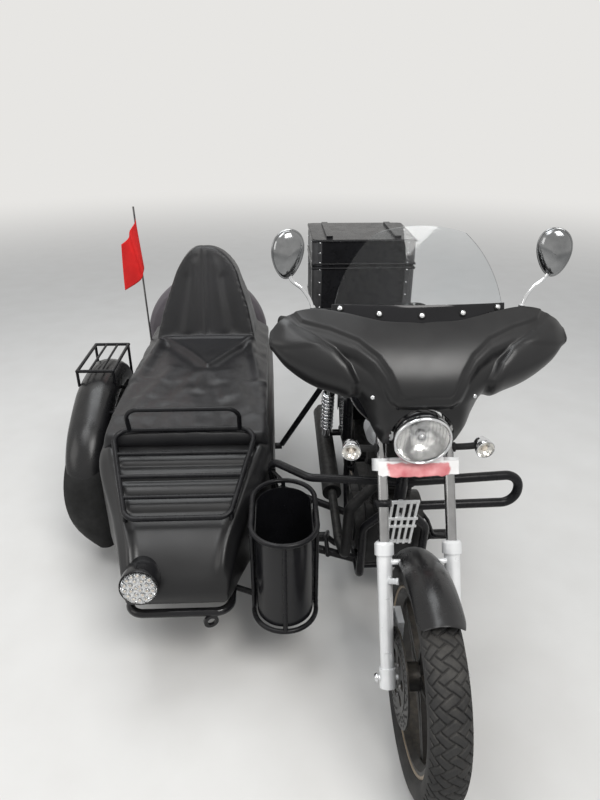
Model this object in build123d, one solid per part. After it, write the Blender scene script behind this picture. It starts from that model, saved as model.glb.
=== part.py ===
from build123d import *
import os
from math import cos, radians, sin

# Sidecar motorcycle: a small cruiser with a fork-mounted batwing fairing and a covered passenger
# sidecar on its right-hand side. Millimetres, +Z up, the front faces -Y and the sidecar lies at -X.
# It is drawn round the front axle, and then moved so that the middle of its footprint is the origin.

# Driving dimensions
WHEELBASE = 1370
RAKE = 31
YOKE_OFFSET = 50
FORK_SPACING = 190
TRACK = 1135
SIDECAR_LEAD = 200
TUB_X = -710
MIDDLE = (410, -875, 0)

# Wheels: tyre radius, tyre width, rim radius
FRONT_WHEEL = (312, 104, 240)
REAR_WHEEL = (303, 114, 214)
SIDE_WHEEL = (290, 104, 208)

FRONT_AXLE = Vector(0, 0, FRONT_WHEEL[0])
REAR_AXLE = Vector(0, WHEELBASE, REAR_WHEEL[0])
SIDE_AXLE = Vector(-TRACK, WHEELBASE - SIDECAR_LEAD, SIDE_WHEEL[0])

UP_FORK = Vector(0, sin(radians(RAKE)), cos(radians(RAKE)))
OFF_FORK = Vector(0, -cos(radians(RAKE)), sin(radians(RAKE)))
BASE = (Align.CENTER, Align.CENTER, Align.MIN)
MID = (Align.CENTER, Align.CENTER, Align.CENTER)


# Shared shapes

def on_fork(along, side=0, off=0):
    """A point along the fork legs from the axle, to one side and off their plane towards the front."""
    return FRONT_AXLE + UP_FORK * along + OFF_FORK * off + Vector(side, 0, 0)


def rod(start, end, radius):
    start, end = Vector(*start), Vector(*end)
    return Plane(origin=start, z_dir=end - start) * Cylinder(radius, (end - start).length, align=BASE)


def tube(points, radius, bend):
    path = FilletPolyline(*points, radius=bend) if bend else Line(*points)
    return sweep(Plane(origin=path @ 0, z_dir=path % 0) * Circle(radius), path=path)


def block(x, y, z):
    """A box between pairs of x, y and z."""
    size = (x[1] - x[0], y[1] - y[0], z[1] - z[0])
    return Pos(sum(x) / 2, sum(y) / 2, sum(z) / 2) * Box(*size)


def slab(outline, x):
    """A side outline in y and z, as points or as a sketch, drawn out between two values of x."""
    face = outline if isinstance(outline, (Sketch, Face)) else make_face(Polyline(*outline, close=True))
    return extrude(Plane(origin=(x[0], 0, 0), x_dir=(0, 1, 0), z_dir=(1, 0, 0)) * face, x[1] - x[0])


def cone(start, end, first, last):
    """A round piece that tapers from one radius to another."""
    start, end = Vector(*start), Vector(*end)
    return Plane(origin=start, z_dir=end - start) * Cone(first, last, (end - start).length, align=BASE)


def seated(shape, seats):
    """The shape without what its seats fill, solid by solid."""
    tools = [solid for seat in seats for solid in seat.solids()]
    left = []
    for solid in shape.solids():
        near = [tool for tool in tools if solid.bounding_box().overlaps(tool.bounding_box())]
        left += solid.cut(*near).solids() if near else [solid]
    return Compound(left)


def fuse(shapes):
    shapes = list(shapes)
    return shapes[0].fuse(*shapes[1:]) if len(shapes) > 1 else shapes[0]


# Wheels

def tyre(radius, width, rim_radius):
    half, bead = width / 2, width * 0.33
    shoulder = (half * 0.86, radius - width * 0.13)
    side = (half, (radius + rim_radius) / 2)
    right = [
        ThreePointArc((bead, rim_radius), (half * 0.93, rim_radius + width * 0.16), side),
        ThreePointArc(side, (half * 0.97, side[1] + width * 0.13), shoulder),
    ]
    left = [mirror(edge, about=Plane.YZ) for edge in right]
    crown = ThreePointArc(shoulder, (0, radius), (-shoulder[0], shoulder[1]))
    foot = Line((-bead, rim_radius), (bead, rim_radius))
    return revolve(make_face([*right, crown, *left, foot]), Axis.X)


def rim(radius, width, hub_radius, hub_width, spokes):
    """A cast wheel: a channel rim, a hub with its bore and forked spokes between them."""
    half = width * 0.33
    channel = Polyline((-half, radius), (-half, radius - 16), (-half * 0.5, radius - 30),
                       (half * 0.5, radius - 30),
                       (half, radius - 16), (half, radius), (half * 0.8, radius), (half * 0.4, radius - 20),
                       (-half * 0.4, radius - 20), (-half * 0.8, radius), close=True)
    ring = revolve(make_face(channel), Axis.X)
    hub = Rot(0, 90, 0) * Cylinder(hub_radius, hub_width, align=MID)
    reach = radius - 24 - hub_radius * 0.6
    middle = hub_radius * 0.6 + reach / 2
    arms = []
    for spoke in range(spokes):
        for lean in (-5, 5):
            turn = 360 * spoke / spokes + lean
            arms.append(Rot(turn, 0, 0) * Pos(0, 0, middle) * Rot(-lean * 1.5, 0, 0) * Box(22, 16, reach))
    bore = Rot(0, 90, 0) * Cylinder(AXLE_RADIUS, hub_width + 10, align=MID)
    return fuse([ring, hub, *arms]) - bore


AXLE_RADIUS = 8
FRONT_HUB = (38, 110)
REAR_HUB = (70, 120)
SIDE_HUB = (60, 100)
DISC_RADIUS = 130
DISC_X = -64


def front_wheel():
    disc = Rot(0, 90, 0) * (Cylinder(DISC_RADIUS, 5) - Cylinder(84, 6))
    carrier = Rot(0, 90, 0) * (Cylinder(88, 8) - Cylinder(30, 9))
    windows = [Rot(60 * i, 0, 0) * Pos(0, 0, 60) * Rot(0, 90, 0) * Cylinder(14, 10) for i in range(6)]
    seat = Rot(0, 90, 0) * Cylinder(34, 14, align=MID)
    bore = Rot(0, 90, 0) * Cylinder(AXLE_RADIUS, 40, align=MID)
    brake = Pos(DISC_X, 0, 0) * (disc + (carrier - windows))
    spacer = Pos(DISC_X + 4, 0, 0) * (seat - bore)
    wheel = rim(FRONT_WHEEL[2], FRONT_WHEEL[1], *FRONT_HUB, 5)
    return Pos(*FRONT_AXLE) * tyre(*FRONT_WHEEL), Pos(*FRONT_AXLE) * fuse([wheel, brake, spacer])


def rear_wheel():
    wheel = rim(REAR_WHEEL[2], REAR_WHEEL[1], *REAR_HUB, 5)
    return Pos(*REAR_AXLE) * tyre(*REAR_WHEEL), Pos(*REAR_AXLE) * wheel


def side_wheel():
    wheel = rim(SIDE_WHEEL[2], SIDE_WHEEL[1], *SIDE_HUB, 5)
    return Pos(*SIDE_AXLE) * tyre(*SIDE_WHEEL), Pos(*SIDE_AXLE) * wheel


# Fork and what it carries

SLIDER_RADIUS = 22
SLIDER_FOOT_RADIUS = 18
STANCHION_RADIUS = 15
COLLAR_AT = 362
LOWER_YOKE_AT = 565
UPPER_YOKE_AT = 800


def fork_leg_plane(along, side, off=0):
    return Plane(origin=on_fork(along, side, off), x_dir=(1, 0, 0), z_dir=UP_FORK)


def fork_tubes():
    legs = []
    for side in (-1, 1):
        leg = fork_leg_plane(COLLAR_AT - 40, side * FORK_SPACING / 2)
        legs.append(leg * Cylinder(STANCHION_RADIUS, UPPER_YOKE_AT + 60 - COLLAR_AT, align=BASE))
    return Compound(legs)


def fork_sliders():
    pieces = []
    for side in (-1, 1):
        x = side * FORK_SPACING / 2
        foot = fork_leg_plane(-26, x) * Cylinder(SLIDER_FOOT_RADIUS + 5, 52, align=BASE)
        body = fork_leg_plane(-20, x) * Cone(SLIDER_FOOT_RADIUS, SLIDER_RADIUS, COLLAR_AT, align=BASE)
        collar = fork_leg_plane(COLLAR_AT - 30, x) * Cylinder(SLIDER_RADIUS + 5, 30, align=BASE)
        seal = fork_leg_plane(COLLAR_AT, x) * Cone(SLIDER_RADIUS + 5, SLIDER_RADIUS, 6, align=BASE)
        sleeve = fork_leg_plane(COLLAR_AT - 42, x) * Cylinder(STANCHION_RADIUS, 60, align=BASE)
        pieces.append((foot + body + collar + seal) - sleeve)
    ends = [(side * (FORK_SPACING / 2 + 26), 0, FRONT_AXLE.Z) for side in (-1, 1)]
    axle = rod(*ends, AXLE_RADIUS - 0.05)
    grip = block((DISC_X - 24, DISC_X + 24), (88, 150), (FRONT_AXLE.Z + 20, FRONT_AXLE.Z + 110))
    slot = block((DISC_X - 6, DISC_X + 6), (80, 142), (FRONT_AXLE.Z, FRONT_AXLE.Z + 130))
    left = -FORK_SPACING / 2
    lug = block((left - 6, left + 6), (60, 130), (FRONT_AXLE.Z + 30, FRONT_AXLE.Z + 90))
    lug_foot = rod((-FORK_SPACING / 2, 20, FRONT_AXLE.Z + 60), (-FORK_SPACING / 2, 80, FRONT_AXLE.Z + 60), 12)
    return fuse([*pieces, axle, grip - slot, lug, lug_foot])


def fork_yokes():
    pieces = []
    for along, thick in ((LOWER_YOKE_AT, 34), (UPPER_YOKE_AT, 26)):
        level = Plane(origin=on_fork(along, 0, 0), x_dir=(1, 0, 0), z_dir=UP_FORK)
        outline = Sketch() + [Pos(side * FORK_SPACING / 2, 0) * Circle(28) for side in (-1, 1)]
        bridge = make_face(Polyline((-95, 24), (95, 24), (40, 62), (-40, 62), close=True))
        bar = Rectangle(FORK_SPACING, 40)
        plate = extrude(level * (outline + bar + bridge), thick)
        bore = Cylinder(STANCHION_RADIUS, thick + 10, align=BASE)
        holes = [fork_leg_plane(along - 5, side * FORK_SPACING / 2) * bore
                 for side in (-1, 1)]
        pieces.append(plate - holes)
    stem = Plane(origin=on_fork(LOWER_YOKE_AT, 0, -YOKE_OFFSET), x_dir=(1, 0, 0), z_dir=UP_FORK)
    pieces.append(stem * Cylinder(13, UPPER_YOKE_AT - LOWER_YOKE_AT + 26, align=BASE))
    return fuse(pieces)


def handlebar():
    foot = on_fork(UPPER_YOKE_AT + 60, 0, -20)
    y, z = foot.Y, foot.Z
    half = [(0, y, z), (110, y, z), (190, y + 15, z + 95), (250, y + 40, z + 110), (370, y + 130, z + 95)]
    bar = tube([(-x, a, b) for x, a, b in reversed(half[1:])] + half[1:], 11, 28)
    grips = [rod((side * 258, y + 46, z + 109), (side * 372, y + 131, z + 95), 17) for side in (-1, 1)]
    low, high = UPPER_YOKE_AT + 26, UPPER_YOKE_AT + 74
    clamps = [rod(on_fork(low, side * 45, -20), on_fork(high, side * 45, -20), 16)
              for side in (-1, 1)]
    pieces = [bar, *grips, *clamps]
    for side in (-1, 1):
        pod = rod((side * 236, y + 32, z + 110), (side * 262, y + 49, z + 109), 20)
        perch = rod((side * 250, y + 41, z + 109), (side * 244, y + 2, z + 104), 8)
        lever = tube([(side * 244, y + 4, z + 104), (side * 290, y + 14, z + 100),
                      (side * 372, y + 84, z + 88)], 5, 30)
        pieces += [pod, perch, lever]
    return fuse(pieces)


GAUGE_AT = (0, 520, 1172)


def gauge():
    """The round instrument behind the screen, on its bracket from the handlebar clamps."""
    face = Plane(origin=GAUGE_AT, z_dir=(0, sin(radians(40)), cos(radians(40))))
    bowl = Cylinder(44, 40, align=MID) + Pos(0, 0, 16) * Cylinder(48, 10, align=MID)
    glass = Pos(0, 0, 19) * Cylinder(41, 8, align=MID)
    foot = on_fork(UPPER_YOKE_AT + 74, 0, -20)
    bracket = rod((0, foot.Y + 4, foot.Z - 14), (0, GAUGE_AT[1] - 12, GAUGE_AT[2] - 12), 9)
    return (face * (bowl - glass)) + bracket


# Fairing sections: x, top (y, z), brow (y, z), low (y, z)
FAIRING = [
    (0, (386, 1194), (250, 1045), (296, 868)),
    (95, (389, 1198), (254, 1050), (300, 880)),
    (150, (400, 1206), (276, 1080), (322, 962)),
    (200, (414, 1214), (296, 1098), (344, 1008)),
    (280, (430, 1222), (326, 1112), (372, 1030)),
    (356, (432, 1206), (364, 1132), (394, 1078)),
    (393, (420, 1166), (396, 1146), (404, 1124)),
]
FAIRING_WALL = 5
# Half outlines of what stands proud of the shell, seen from the front, in x and z
PANEL = [(0, 1043), (62, 1043), (94, 1108), (156, 1166), (262, 1194), (290, 1260), (0, 1260)]
POD = [(420, 1190), (335, 1180), (240, 1146), (192, 1112), (176, 1062), (184, 990), (420, 990)]
PANEL_RISE = 7
POD_RISE = 8
LAMP_RADIUS = 78
LAMP_AT = (0, 262, 918)
LAMP_TILT = 8


def fairing_loft(wall, back):
    """The solid in front of the rider, or the space that hollows it out, from one table."""
    sections = []
    rows = [(-x, *rest) for x, *rest in reversed(FAIRING[1:])] + FAIRING
    for x, top, brow, low in rows:
        side = x - wall * (1 if x > 380 else -1 if x < -380 else 0)
        tip = abs(x) > 380
        drop = wall * (0.4 if tip else 1)
        a = (side, top[0] + wall, top[1] - drop)
        b = (side, brow[0] + wall, brow[1])
        c = (side, low[0] + wall, low[1] + drop)
        behind = [(side, top[0] + back, top[1] - drop), (side, low[0] + back, low[1] + drop)]
        edges = [ThreePointArc(a, b, c), Line(c, behind[1]), Line(behind[1], behind[0]), Line(behind[0], a)]
        sections.append(make_face(edges))
    return loft(sections)


def front_prism(half_outline, side, bend):
    """A half outline in x and z, drawn out along y on one side of the fairing."""
    points = [(side * x, z) for x, z in half_outline]
    face = make_face(Polyline(*points, close=True))
    corners = face.vertices().filter_by(lambda v: 0 < abs(v.X) < 400 and v.Y < 1200)
    face = fillet(corners, bend)
    return extrude(Plane(origin=(0, 500, 0), x_dir=(1, 0, 0), z_dir=(0, -1, 0)) * face, 400)


def fairing():
    hollow = fairing_loft(FAIRING_WALL, 60)
    shell = fairing_loft(0, 12)
    panel = [fairing_loft(-PANEL_RISE, 0) & front_prism(PANEL, side, 16) for side in (-1, 1)]
    pods = [fairing_loft(-POD_RISE, 12) & front_prism(POD, side, 22) for side in (-1, 1)]
    hole = Plane(origin=LAMP_AT, z_dir=(0, -1, 0)) * Cylinder(LAMP_RADIUS + 4, 300, align=MID)
    stays = [rod((side * 70, 251, 1010), (side * 95, 400, 985), 7) for side in (-1, 1)]
    return fuse([fuse([shell, *panel, *pods]) - hollow - hole, *stays])


SCREEN_FOOT = (0, 382, 1196)
SCREEN_TILT = 24
SCREEN_RADIUS = 720
SCREEN_BACK = Vector(0, cos(radians(SCREEN_TILT)), -sin(radians(SCREEN_TILT)))
SCREEN_UP = Vector(0, sin(radians(SCREEN_TILT)), cos(radians(SCREEN_TILT)))


def screen_sheet(outline, near, far):
    """A front outline cut out of the screen's curved wall, between two depths of that wall."""
    middle = Vector(*SCREEN_FOOT) + SCREEN_BACK * SCREEN_RADIUS - SCREEN_UP * 60
    axis = Plane(origin=middle, x_dir=(1, 0, 0), z_dir=SCREEN_UP)
    hollow = Cylinder(SCREEN_RADIUS + far, 360, align=BASE)
    wall = axis * (Cylinder(SCREEN_RADIUS + near, 360, align=BASE) - hollow)
    behind = Vector(*SCREEN_FOOT) + SCREEN_BACK * 200
    face = Plane(origin=behind, x_dir=(1, 0, 0), z_dir=SCREEN_BACK * -1) * outline
    return wall & extrude(face, 300)


def windscreen():
    outline = make_face([
        Line((-232, 8), (232, 8)),
        ThreePointArc((232, 8), (200, 140), (122, 240)),
        ThreePointArc((122, 240), (0, 258), (-122, 240)),
        ThreePointArc((-122, 240), (-200, 140), (-232, 8)),
    ])
    return screen_sheet(outline, 0, -4)


def screen_band():
    """The black strip that clamps the screen's foot to the fairing."""
    outline = make_face([
        ThreePointArc((-238, 26), (0, 14), (238, 26)),
        Line((238, 26), (230, 50)),
        ThreePointArc((230, 50), (0, 36), (-230, 50)),
        Line((-230, 50), (-238, 26)),
    ])
    return screen_sheet(Pos(0, -14) * outline, 4, 0.2)


def headlamp():
    face = Plane(origin=LAMP_AT, z_dir=(0, -1, -sin(radians(LAMP_TILT))))
    bowl = Cylinder(LAMP_RADIUS, 82, align=BASE) - Pos(0, 0, 6) * Cylinder(LAMP_RADIUS - 8, 82, align=BASE)
    lens = face * Pos(0, 0, 4) * Cylinder(LAMP_RADIUS - 8, 10, align=BASE)
    ears = [block((x - 4, x + 4), (290, 356), (888, 936)) for x in (-78, 78)]
    inside = face * Pos(0, 0, -56) * Cylinder(LAMP_RADIUS - 8, 82, align=BASE)
    bezel = face * Pos(0, 0, 17) * (Cylinder(LAMP_RADIUS + 5, 12) - Cylinder(LAMP_RADIUS - 8, 14))
    bezel = fillet(bezel.edges().filter_by(GeomType.CIRCLE).group_by(SortBy.RADIUS)[-1], 5)
    return fuse([face * Pos(0, 0, -62) * bowl, bezel, *[ear - inside for ear in ears]]), lens


def turn_signals():
    """Round lamps on stalks: a bowl that swells from its back to the rim of its glass."""
    outline = Polyline((0, 0), (11, 0), (22, 9), (28, 24), (30, 50), (26, 56), (14, 60), (0, 61), close=True)
    bowl = revolve(make_face(outline), Axis.Y)
    lamps = []
    for side in (-1, 1):
        stalk = rod(on_fork(LOWER_YOKE_AT + 62, side * 100, 0), (side * 188, 302, 870), 8)
        lamps.append(stalk + Pos(side * 190, 318, 870) * Rot(180, 0, 0) * bowl)
    return Compound(lamps)


def mirrors():
    glasses = []
    for side in (-1, 1):
        stem = tube([(side * 285, 441, 1221), (side * 298, 452, 1262), (side * 345, 455, 1296),
                     (side * 352, 455, 1330)], 5, 14)
        outline = make_face([
            ThreePointArc((-8, -58), (-42, 22), (-6, 62)), ThreePointArc((-6, 62), (40, 34), (8, -58)),
            Line((8, -58), (-8, -58)),
        ])
        shell = extrude(outline, 9) + extrude(offset(outline, -10), 16)
        turned = Rot(90, 0, 0) * Rot(0, 0, side * -8) * mirror(shell, about=Plane.YZ)
        head = Pos(side * 352, 452, 1366) * turned
        if side > 0:
            head = mirror(head, about=Plane(origin=(side * 352, 0, 0), z_dir=(1, 0, 0)))
        glasses.append(stem + head)
    return Compound(glasses)


MUDGUARD_RADIUS = 338
MUDGUARD_HALF = 61


def front_mudguard():
    low, crown, half = MUDGUARD_RADIUS - 32, MUDGUARD_RADIUS + 8, MUDGUARD_HALF
    profile = make_face([
        ThreePointArc((-half, low + 2), (0, crown), (half, low + 2)),
        Line((half, low + 2), (half - 4, low)),
        ThreePointArc((half - 4, low), (0, crown - 4), (4 - half, low)),
        Line((4 - half, low), (-half, low + 2)),
    ])
    blade = Pos(*FRONT_AXLE) * Rot(28, 0, 0) * revolve(profile, Axis.X, 83)
    brackets = [rod(on_fork(312, side * (half - 5)), on_fork(312, side * 77), 10) for side in (-1, 1)]
    return fuse([blade, *brackets])


# Motorcycle frame and what it carries

STEM_LOW = on_fork(LOWER_YOKE_AT + 36, 0, -YOKE_OFFSET)
STEM_HIGH = on_fork(UPPER_YOKE_AT - 3, 0, -YOKE_OFFSET)
CRADLE_X = 105
RAIL_X = 112
PIVOT = Vector(0, 945, 372)
SHOCK_TOP = Vector(0, 1215, 690)


def main_frame():
    head = rod(STEM_LOW, STEM_HIGH, 26)
    spine = tube([(0, 448, 908), (0, 520, 895), (0, 960, 690)], 22, 60)
    down = rod((0, 396, 830), (0, 462, 520), 19)
    pieces = [head, spine, down]
    for side in (-1, 1):
        x, rail_x = side * CRADLE_X, side * RAIL_X
        cradle = [(0, 455, 560), (x, 480, 440), (x, 500, 205), (x, 900, 190), (x, 965, 300), (x, 965, 700)]
        rail = [(0, 930, 700), (rail_x, 1010, 700), (rail_x, 1300, 702), (rail_x, 1580, 706),
                (rail_x, 1740, 770)]
        pieces += [tube(cradle, 14, 40), tube(rail, 13, 60), rod((x, 965, 450), (rail_x, 1290, 700), 11)]
        pieces.append(rod((rail_x, SHOCK_TOP.Y, SHOCK_TOP.Z), (side * 178, SHOCK_TOP.Y, SHOCK_TOP.Z), 9))
    for y, z in ((560, 205), (860, 195)):
        pieces.append(rod((-CRADLE_X, y, z), (CRADLE_X, y, z), 12))
    pieces.append(rod((-CRADLE_X, PIVOT.Y, PIVOT.Z), (CRADLE_X, PIVOT.Y, PIVOT.Z), 9))
    pieces += [rod((-RAIL_X, y, z), (RAIL_X, y, z), 10) for y, z in ((1370, 702), (1640, 732))]
    bore = [on_fork(along, 0, -YOKE_OFFSET) for along in (LOWER_YOKE_AT, UPPER_YOKE_AT + 30)]
    return fuse(pieces) - rod(*bore, 13.05)


def engine_case():
    """Crankcase with its ribbed round side covers, the gearbox behind it and the starter in front."""
    outline = make_face(FilletPolyline((545, 212), (905, 204), (925, 330), (880, 452), (560, 462), (520, 350),
                                       radius=36, close=True))
    case = slab(outline, (-84, 84))
    covers = []
    for side, y, z, radius, deep in ENGINE_COVERS:
        wall = Pos(side * 84, y, z) * Rot(0, side * 90, 0)
        covers.append(wall * Cylinder(radius, deep, align=BASE))
        covers.append(wall * Pos(0, 0, deep) * (Cylinder(radius * 0.72, 5, align=BASE)
                                                - Cylinder(radius * 0.6, 5, align=BASE)))
    starter = rod((-60, 560, 486), (60, 560, 486), 30)
    drain = Pos(0, 700, 196) * Cylinder(14, 20, align=BASE)
    return fuse([case, *covers, starter, drain])


# Round covers of the engine: side, y, z, radius, depth
ENGINE_COVERS = [
    (1, 655, 335, 108, 40),
    (1, 830, 330, 70, 28),
    (-1, 655, 335, 104, 34),
    (-1, 800, 330, 78, 28),
]


CYLINDER_FOOT = Vector(0, 650, 455)
CYLINDER_TILT = 14


def engine_cylinder():
    """Upright finned cylinder and head, leaning forward."""
    stand = Plane(origin=CYLINDER_FOOT, x_dir=(1, 0, 0),
                  z_dir=(0, -sin(radians(CYLINDER_TILT)), cos(radians(CYLINDER_TILT))))
    barrel = stand * Cylinder(44, 185, align=BASE)
    pieces = [barrel]
    for level in range(12):
        width = 142 if level < 8 else 156
        fin = extrude(RectangleRounded(width, width, 22), 4)
        pieces.append(stand * Pos(0, 0, 12 + level * 13.5) * fin)
    head = extrude(RectangleRounded(104, 118, 18), 30)
    cover = extrude(RectangleRounded(84, 104, 16), 16)
    pieces += [stand * Pos(0, 0, 172) * head, stand * Pos(0, 0, 202) * cover]
    pieces += [stand * Pos(x, y, 0) * Cylinder(7, 214, align=BASE) for x in (-38, 38) for y in (-46, 46)]
    plug = stand * Pos(-70, 0, 166) * Rot(0, -60, 0) * Cylinder(10, 40, align=MID)
    return fuse([*pieces, plug])


def carburettor():
    """Intake stub, carburettor and the round air cleaner behind the cylinder."""
    intake = tube([(0, 660, 590), (0, 740, 596), (0, 800, 592)], 19, 40)
    body = rod((0, 782, 592), (0, 848, 590), 30)
    bowl = Pos(0, 812, 540) * Cylinder(24, 40, align=BASE)
    cap = Pos(0, 812, 600) * Cylinder(22, 34, align=BASE)
    cleaner = rod((0, 846, 590), (0, 918, 586), 54)
    return fuse([intake, body, bowl, cap, cleaner])


# Tank sections: y, half width, underside, top, corner radius
TANK = [
    (498, 58, 806, 868, 29),
    (560, 112, 786, 930, 62),
    (680, 146, 772, 950, 80),
    (800, 134, 752, 928, 78),
    (900, 100, 740, 868, 56),
    (984, 58, 736, 790, 24),
]


def fuel_tank():
    sections = []
    for y, half, low, high, corner in TANK:
        level = Plane(origin=(0, y, (low + high) / 2), x_dir=(1, 0, 0), z_dir=(0, 1, 0))
        sections.append(level * RectangleRounded(2 * half, high - low, corner))
    cap = Pos(0, 650, 936) * (Cylinder(36, 22, align=BASE) + Cylinder(26, 28, align=BASE))
    return loft(sections) + cap


def rider_seat():
    side = make_face([
        Line((985, 712), (1560, 720)),
        Line((1560, 720), (1590, 800)),
        Spline((1590, 800), (1420, 838), (1300, 828), (1230, 776), (1100, 752), (985, 778)),
        Line((985, 778), (985, 712)),
    ])
    profile = slab(side, (-170, 170))
    plan = make_face(Polyline((-95, 985), (95, 985), (150, 1080), (150, 1250), (125, 1590), (-125, 1590),
                              (-150, 1250), (-150, 1080), close=True))
    plan = fillet(plan.vertices(), 45)
    return profile & extrude(Pos(0, 0, 700) * plan, 200)


def side_panels():
    outline = FilletPolyline((962, 480), (1080, 500), (1180, 640), (1185, 688), (962, 678),
                             radius=18, close=True)
    panel = slab(make_face(outline), (116, 130))
    return Compound([panel, mirror(panel, about=Plane.YZ)])


REAR_GUARD_TURN = -8


def rear_mudguard():
    inner = REAR_WHEEL[0] + 28
    profile = make_face(Polyline((-72, inner - 34), (-72, inner), (72, inner), (72, inner - 34),
                                 (76, inner - 34),
                                 (76, inner + 4), (-76, inner + 4), (-76, inner - 34), close=True))
    blade = revolve(profile, Axis.X, 150)
    hanger = block((-20, 20), (WHEELBASE - 14, WHEELBASE + 14), (REAR_AXLE.Z + inner, 700))
    return Pos(*REAR_AXLE) * Rot(REAR_GUARD_TURN, 0, 0) * blade + hanger


SWINGARM_X = 82


def swingarm():
    pieces = [rod((-86, PIVOT.Y, PIVOT.Z), (86, PIVOT.Y, PIVOT.Z), 20)]
    for side in (-1, 1):
        x = side * SWINGARM_X
        arm = rod((x, PIVOT.Y, PIVOT.Z), (x, WHEELBASE + 30, REAR_AXLE.Z), 17)
        lug = rod((x, 1300, 328), (side * 178, 1300, 328), 9)
        pieces += [arm, lug]
    pieces.append(rod((-SWINGARM_X, 1035, 356), (SWINGARM_X, 1035, 356), 15))
    axle = rod((-130, WHEELBASE, REAR_AXLE.Z), (130, WHEELBASE, REAR_AXLE.Z), AXLE_RADIUS - 0.05)
    pieces.append(axle)
    return fuse(pieces)


def chain_case():
    outline = Polyline((885, 300), (885, 395), (1370, 352), (1425, 325), (1425, 275), (1370, 250), close=True)
    return slab(make_face(outline), (121, 133))


def rear_shocks():
    shocks = []
    for side in (-1, 1):
        low, high = Vector(side * 165, 1300, 328), Vector(side * 165, SHOCK_TOP.Y, SHOCK_TOP.Z)
        line = high - low
        stand = Plane(origin=low, z_dir=line)
        body = stand * Cylinder(19.5, line.length, align=BASE)
        cap = stand * Pos(0, 0, line.length - 90) * Cylinder(29, 70, align=BASE)
        coils = [stand * Pos(0, 0, 50 + 21 * turn) * Torus(24, 5) for turn in range(10)]
        eye = Rot(0, 90, 0) * (Cylinder(20, 24) - Cylinder(9.2, 30))
        eyes = [Pos(side * 165, p.Y, p.Z) * eye for p in (low, high)]
        holes = [Pos(side * 165, p.Y, p.Z) * Rot(0, 90, 0) * Cylinder(9.2, 30) for p in (low, high)]
        shocks.append(fuse([body, cap, *coils, *eyes]) - holes)
    return Compound(shocks)


def exhaust():
    pipe = tube([(-10, 600, 596), (-70, 515, 588), (-152, 505, 500), (-156, 530, 285), (-165, 650, 240),
                 (-165, 1000, 242)], 18, 30)
    silencer = rod((-165, 960, 239), (-165, 1620, 270), 40)
    tip = rod((-165, 1600, 269), (-165, 1660, 272), 24)
    return (pipe + silencer + tip) - rod((-165, 1630, 270.5), (-165, 1670, 272.5), 18)


CRASH_Y = 462


def engine_guard():
    return tube([(8, CRASH_Y - 18, 648), (388, CRASH_Y + 3, 654), (388, CRASH_Y + 3, 546),
                 (20, CRASH_Y, 540)], 15, 50)


def slatted_guard():
    """A grille of long slats in front of the down tube, in line with the fork, on two cross bars."""
    tilt = radians(GRILLE_TILT)
    face = Plane(origin=GRILLE_FOOT, x_dir=(1, 0, 0), z_dir=(0, -cos(tilt), -sin(tilt)))
    slats = [face * Pos(x, 112, 0) * Box(8, 224, 5) for x in range(-50, 51, 20)]
    bars = [face * Pos(0, y, 4) * Box(118, 9, 5) for y in (100, 140)]
    ends = [face * Pos(0, y, -3) * Box(112, 12, 6) for y in (8, 216)]
    stays = [rod((0, 452, 522), (0, 422, 522), 9), rod((0, 440, 585), (0, 406, 585), 9)]
    return fuse([*slats, *bars, *ends, *stays])


GRILLE_FOOT = (0, 460, 388)
GRILLE_TILT = 15


def foot_controls():
    bar = [(-262, 720, 205), (-205, 720, 205), (-170, 720, 170), (170, 720, 170), (205, 720, 205),
           (262, 720, 205)]
    pieces = [tube(bar, 11, 20)]
    pieces += [rod((side * 195, 720, 205), (side * 265, 720, 205), 19) for side in (-1, 1)]
    pieces.append(tube([(-200, 735, 215), (-215, 650, 262), (-215, 550, 262)], 8, 30))
    pieces.append(tube([(146, 800, 300), (178, 700, 290), (178, 610, 290), (225, 600, 292)], 7, 14))
    pieces.append(rod((110, 800, 300), (150, 800, 300), 9))
    return fuse(pieces)


# Rack and top box: half width, front, back, floor, lid seam and lid top
TOP_BOX = dict(half=225, front=1500, back=1880, floor=862, seam=1062, top=1178)
BOX_WALL = 3
LID_OPENING = 100


def rear_rack():
    z = TOP_BOX["floor"] - 14
    pieces = []
    for x in (-90, 90):
        outer = x / 90 * RAIL_X
        pieces.append(tube([(outer, 1660, 732), (x, 1615, z), (x, 1860, z), (outer, 1735, 768)], 9, 12))
    pieces += [rod((-90, y, z), (90, y, z), 7) for y in (1640, 1720, 1800)]
    plate = block((-100, 100), (1620, 1820), (z + 5, TOP_BOX["floor"]))
    return fuse([*pieces, plate])


def box_shell(low, high, open_top):
    b = TOP_BOX
    plan = Pos(0, (b["front"] + b["back"]) / 2) * RectangleRounded(2 * b["half"], b["back"] - b["front"], 24)
    inner = offset(plan, -BOX_WALL)
    outer = extrude(Pos(0, 0, low) * plan, high - low)
    floor, ceiling = (low + BOX_WALL, high + 1) if open_top else (low - 1, high - BOX_WALL)
    return outer - extrude(Pos(0, 0, floor) * inner, ceiling - floor)


def top_box():
    b = TOP_BOX
    shell = box_shell(b["floor"], b["seam"], True)
    ribs = []
    for i in range(5):
        y = b["front"] + 60 + 65 * i
        ribs += [block((side * b["half"] - 3, side * b["half"] + 3), (y - 12, y + 12),
                       (b["floor"] + 20, b["seam"] - 20))
                 for side in (-1, 1)]
    return fuse([shell, *ribs])


def top_box_lid():
    b = TOP_BOX
    shell = box_shell(b["seam"] + 1, b["top"], False)
    rails = [block((side * 150 - 14, side * 150 + 14), (b["front"] + 30, b["back"] - 30),
                   (b["top"], b["top"] + 10))
             for side in (-1, 1)]
    return fuse([shell, *rails])


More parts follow.
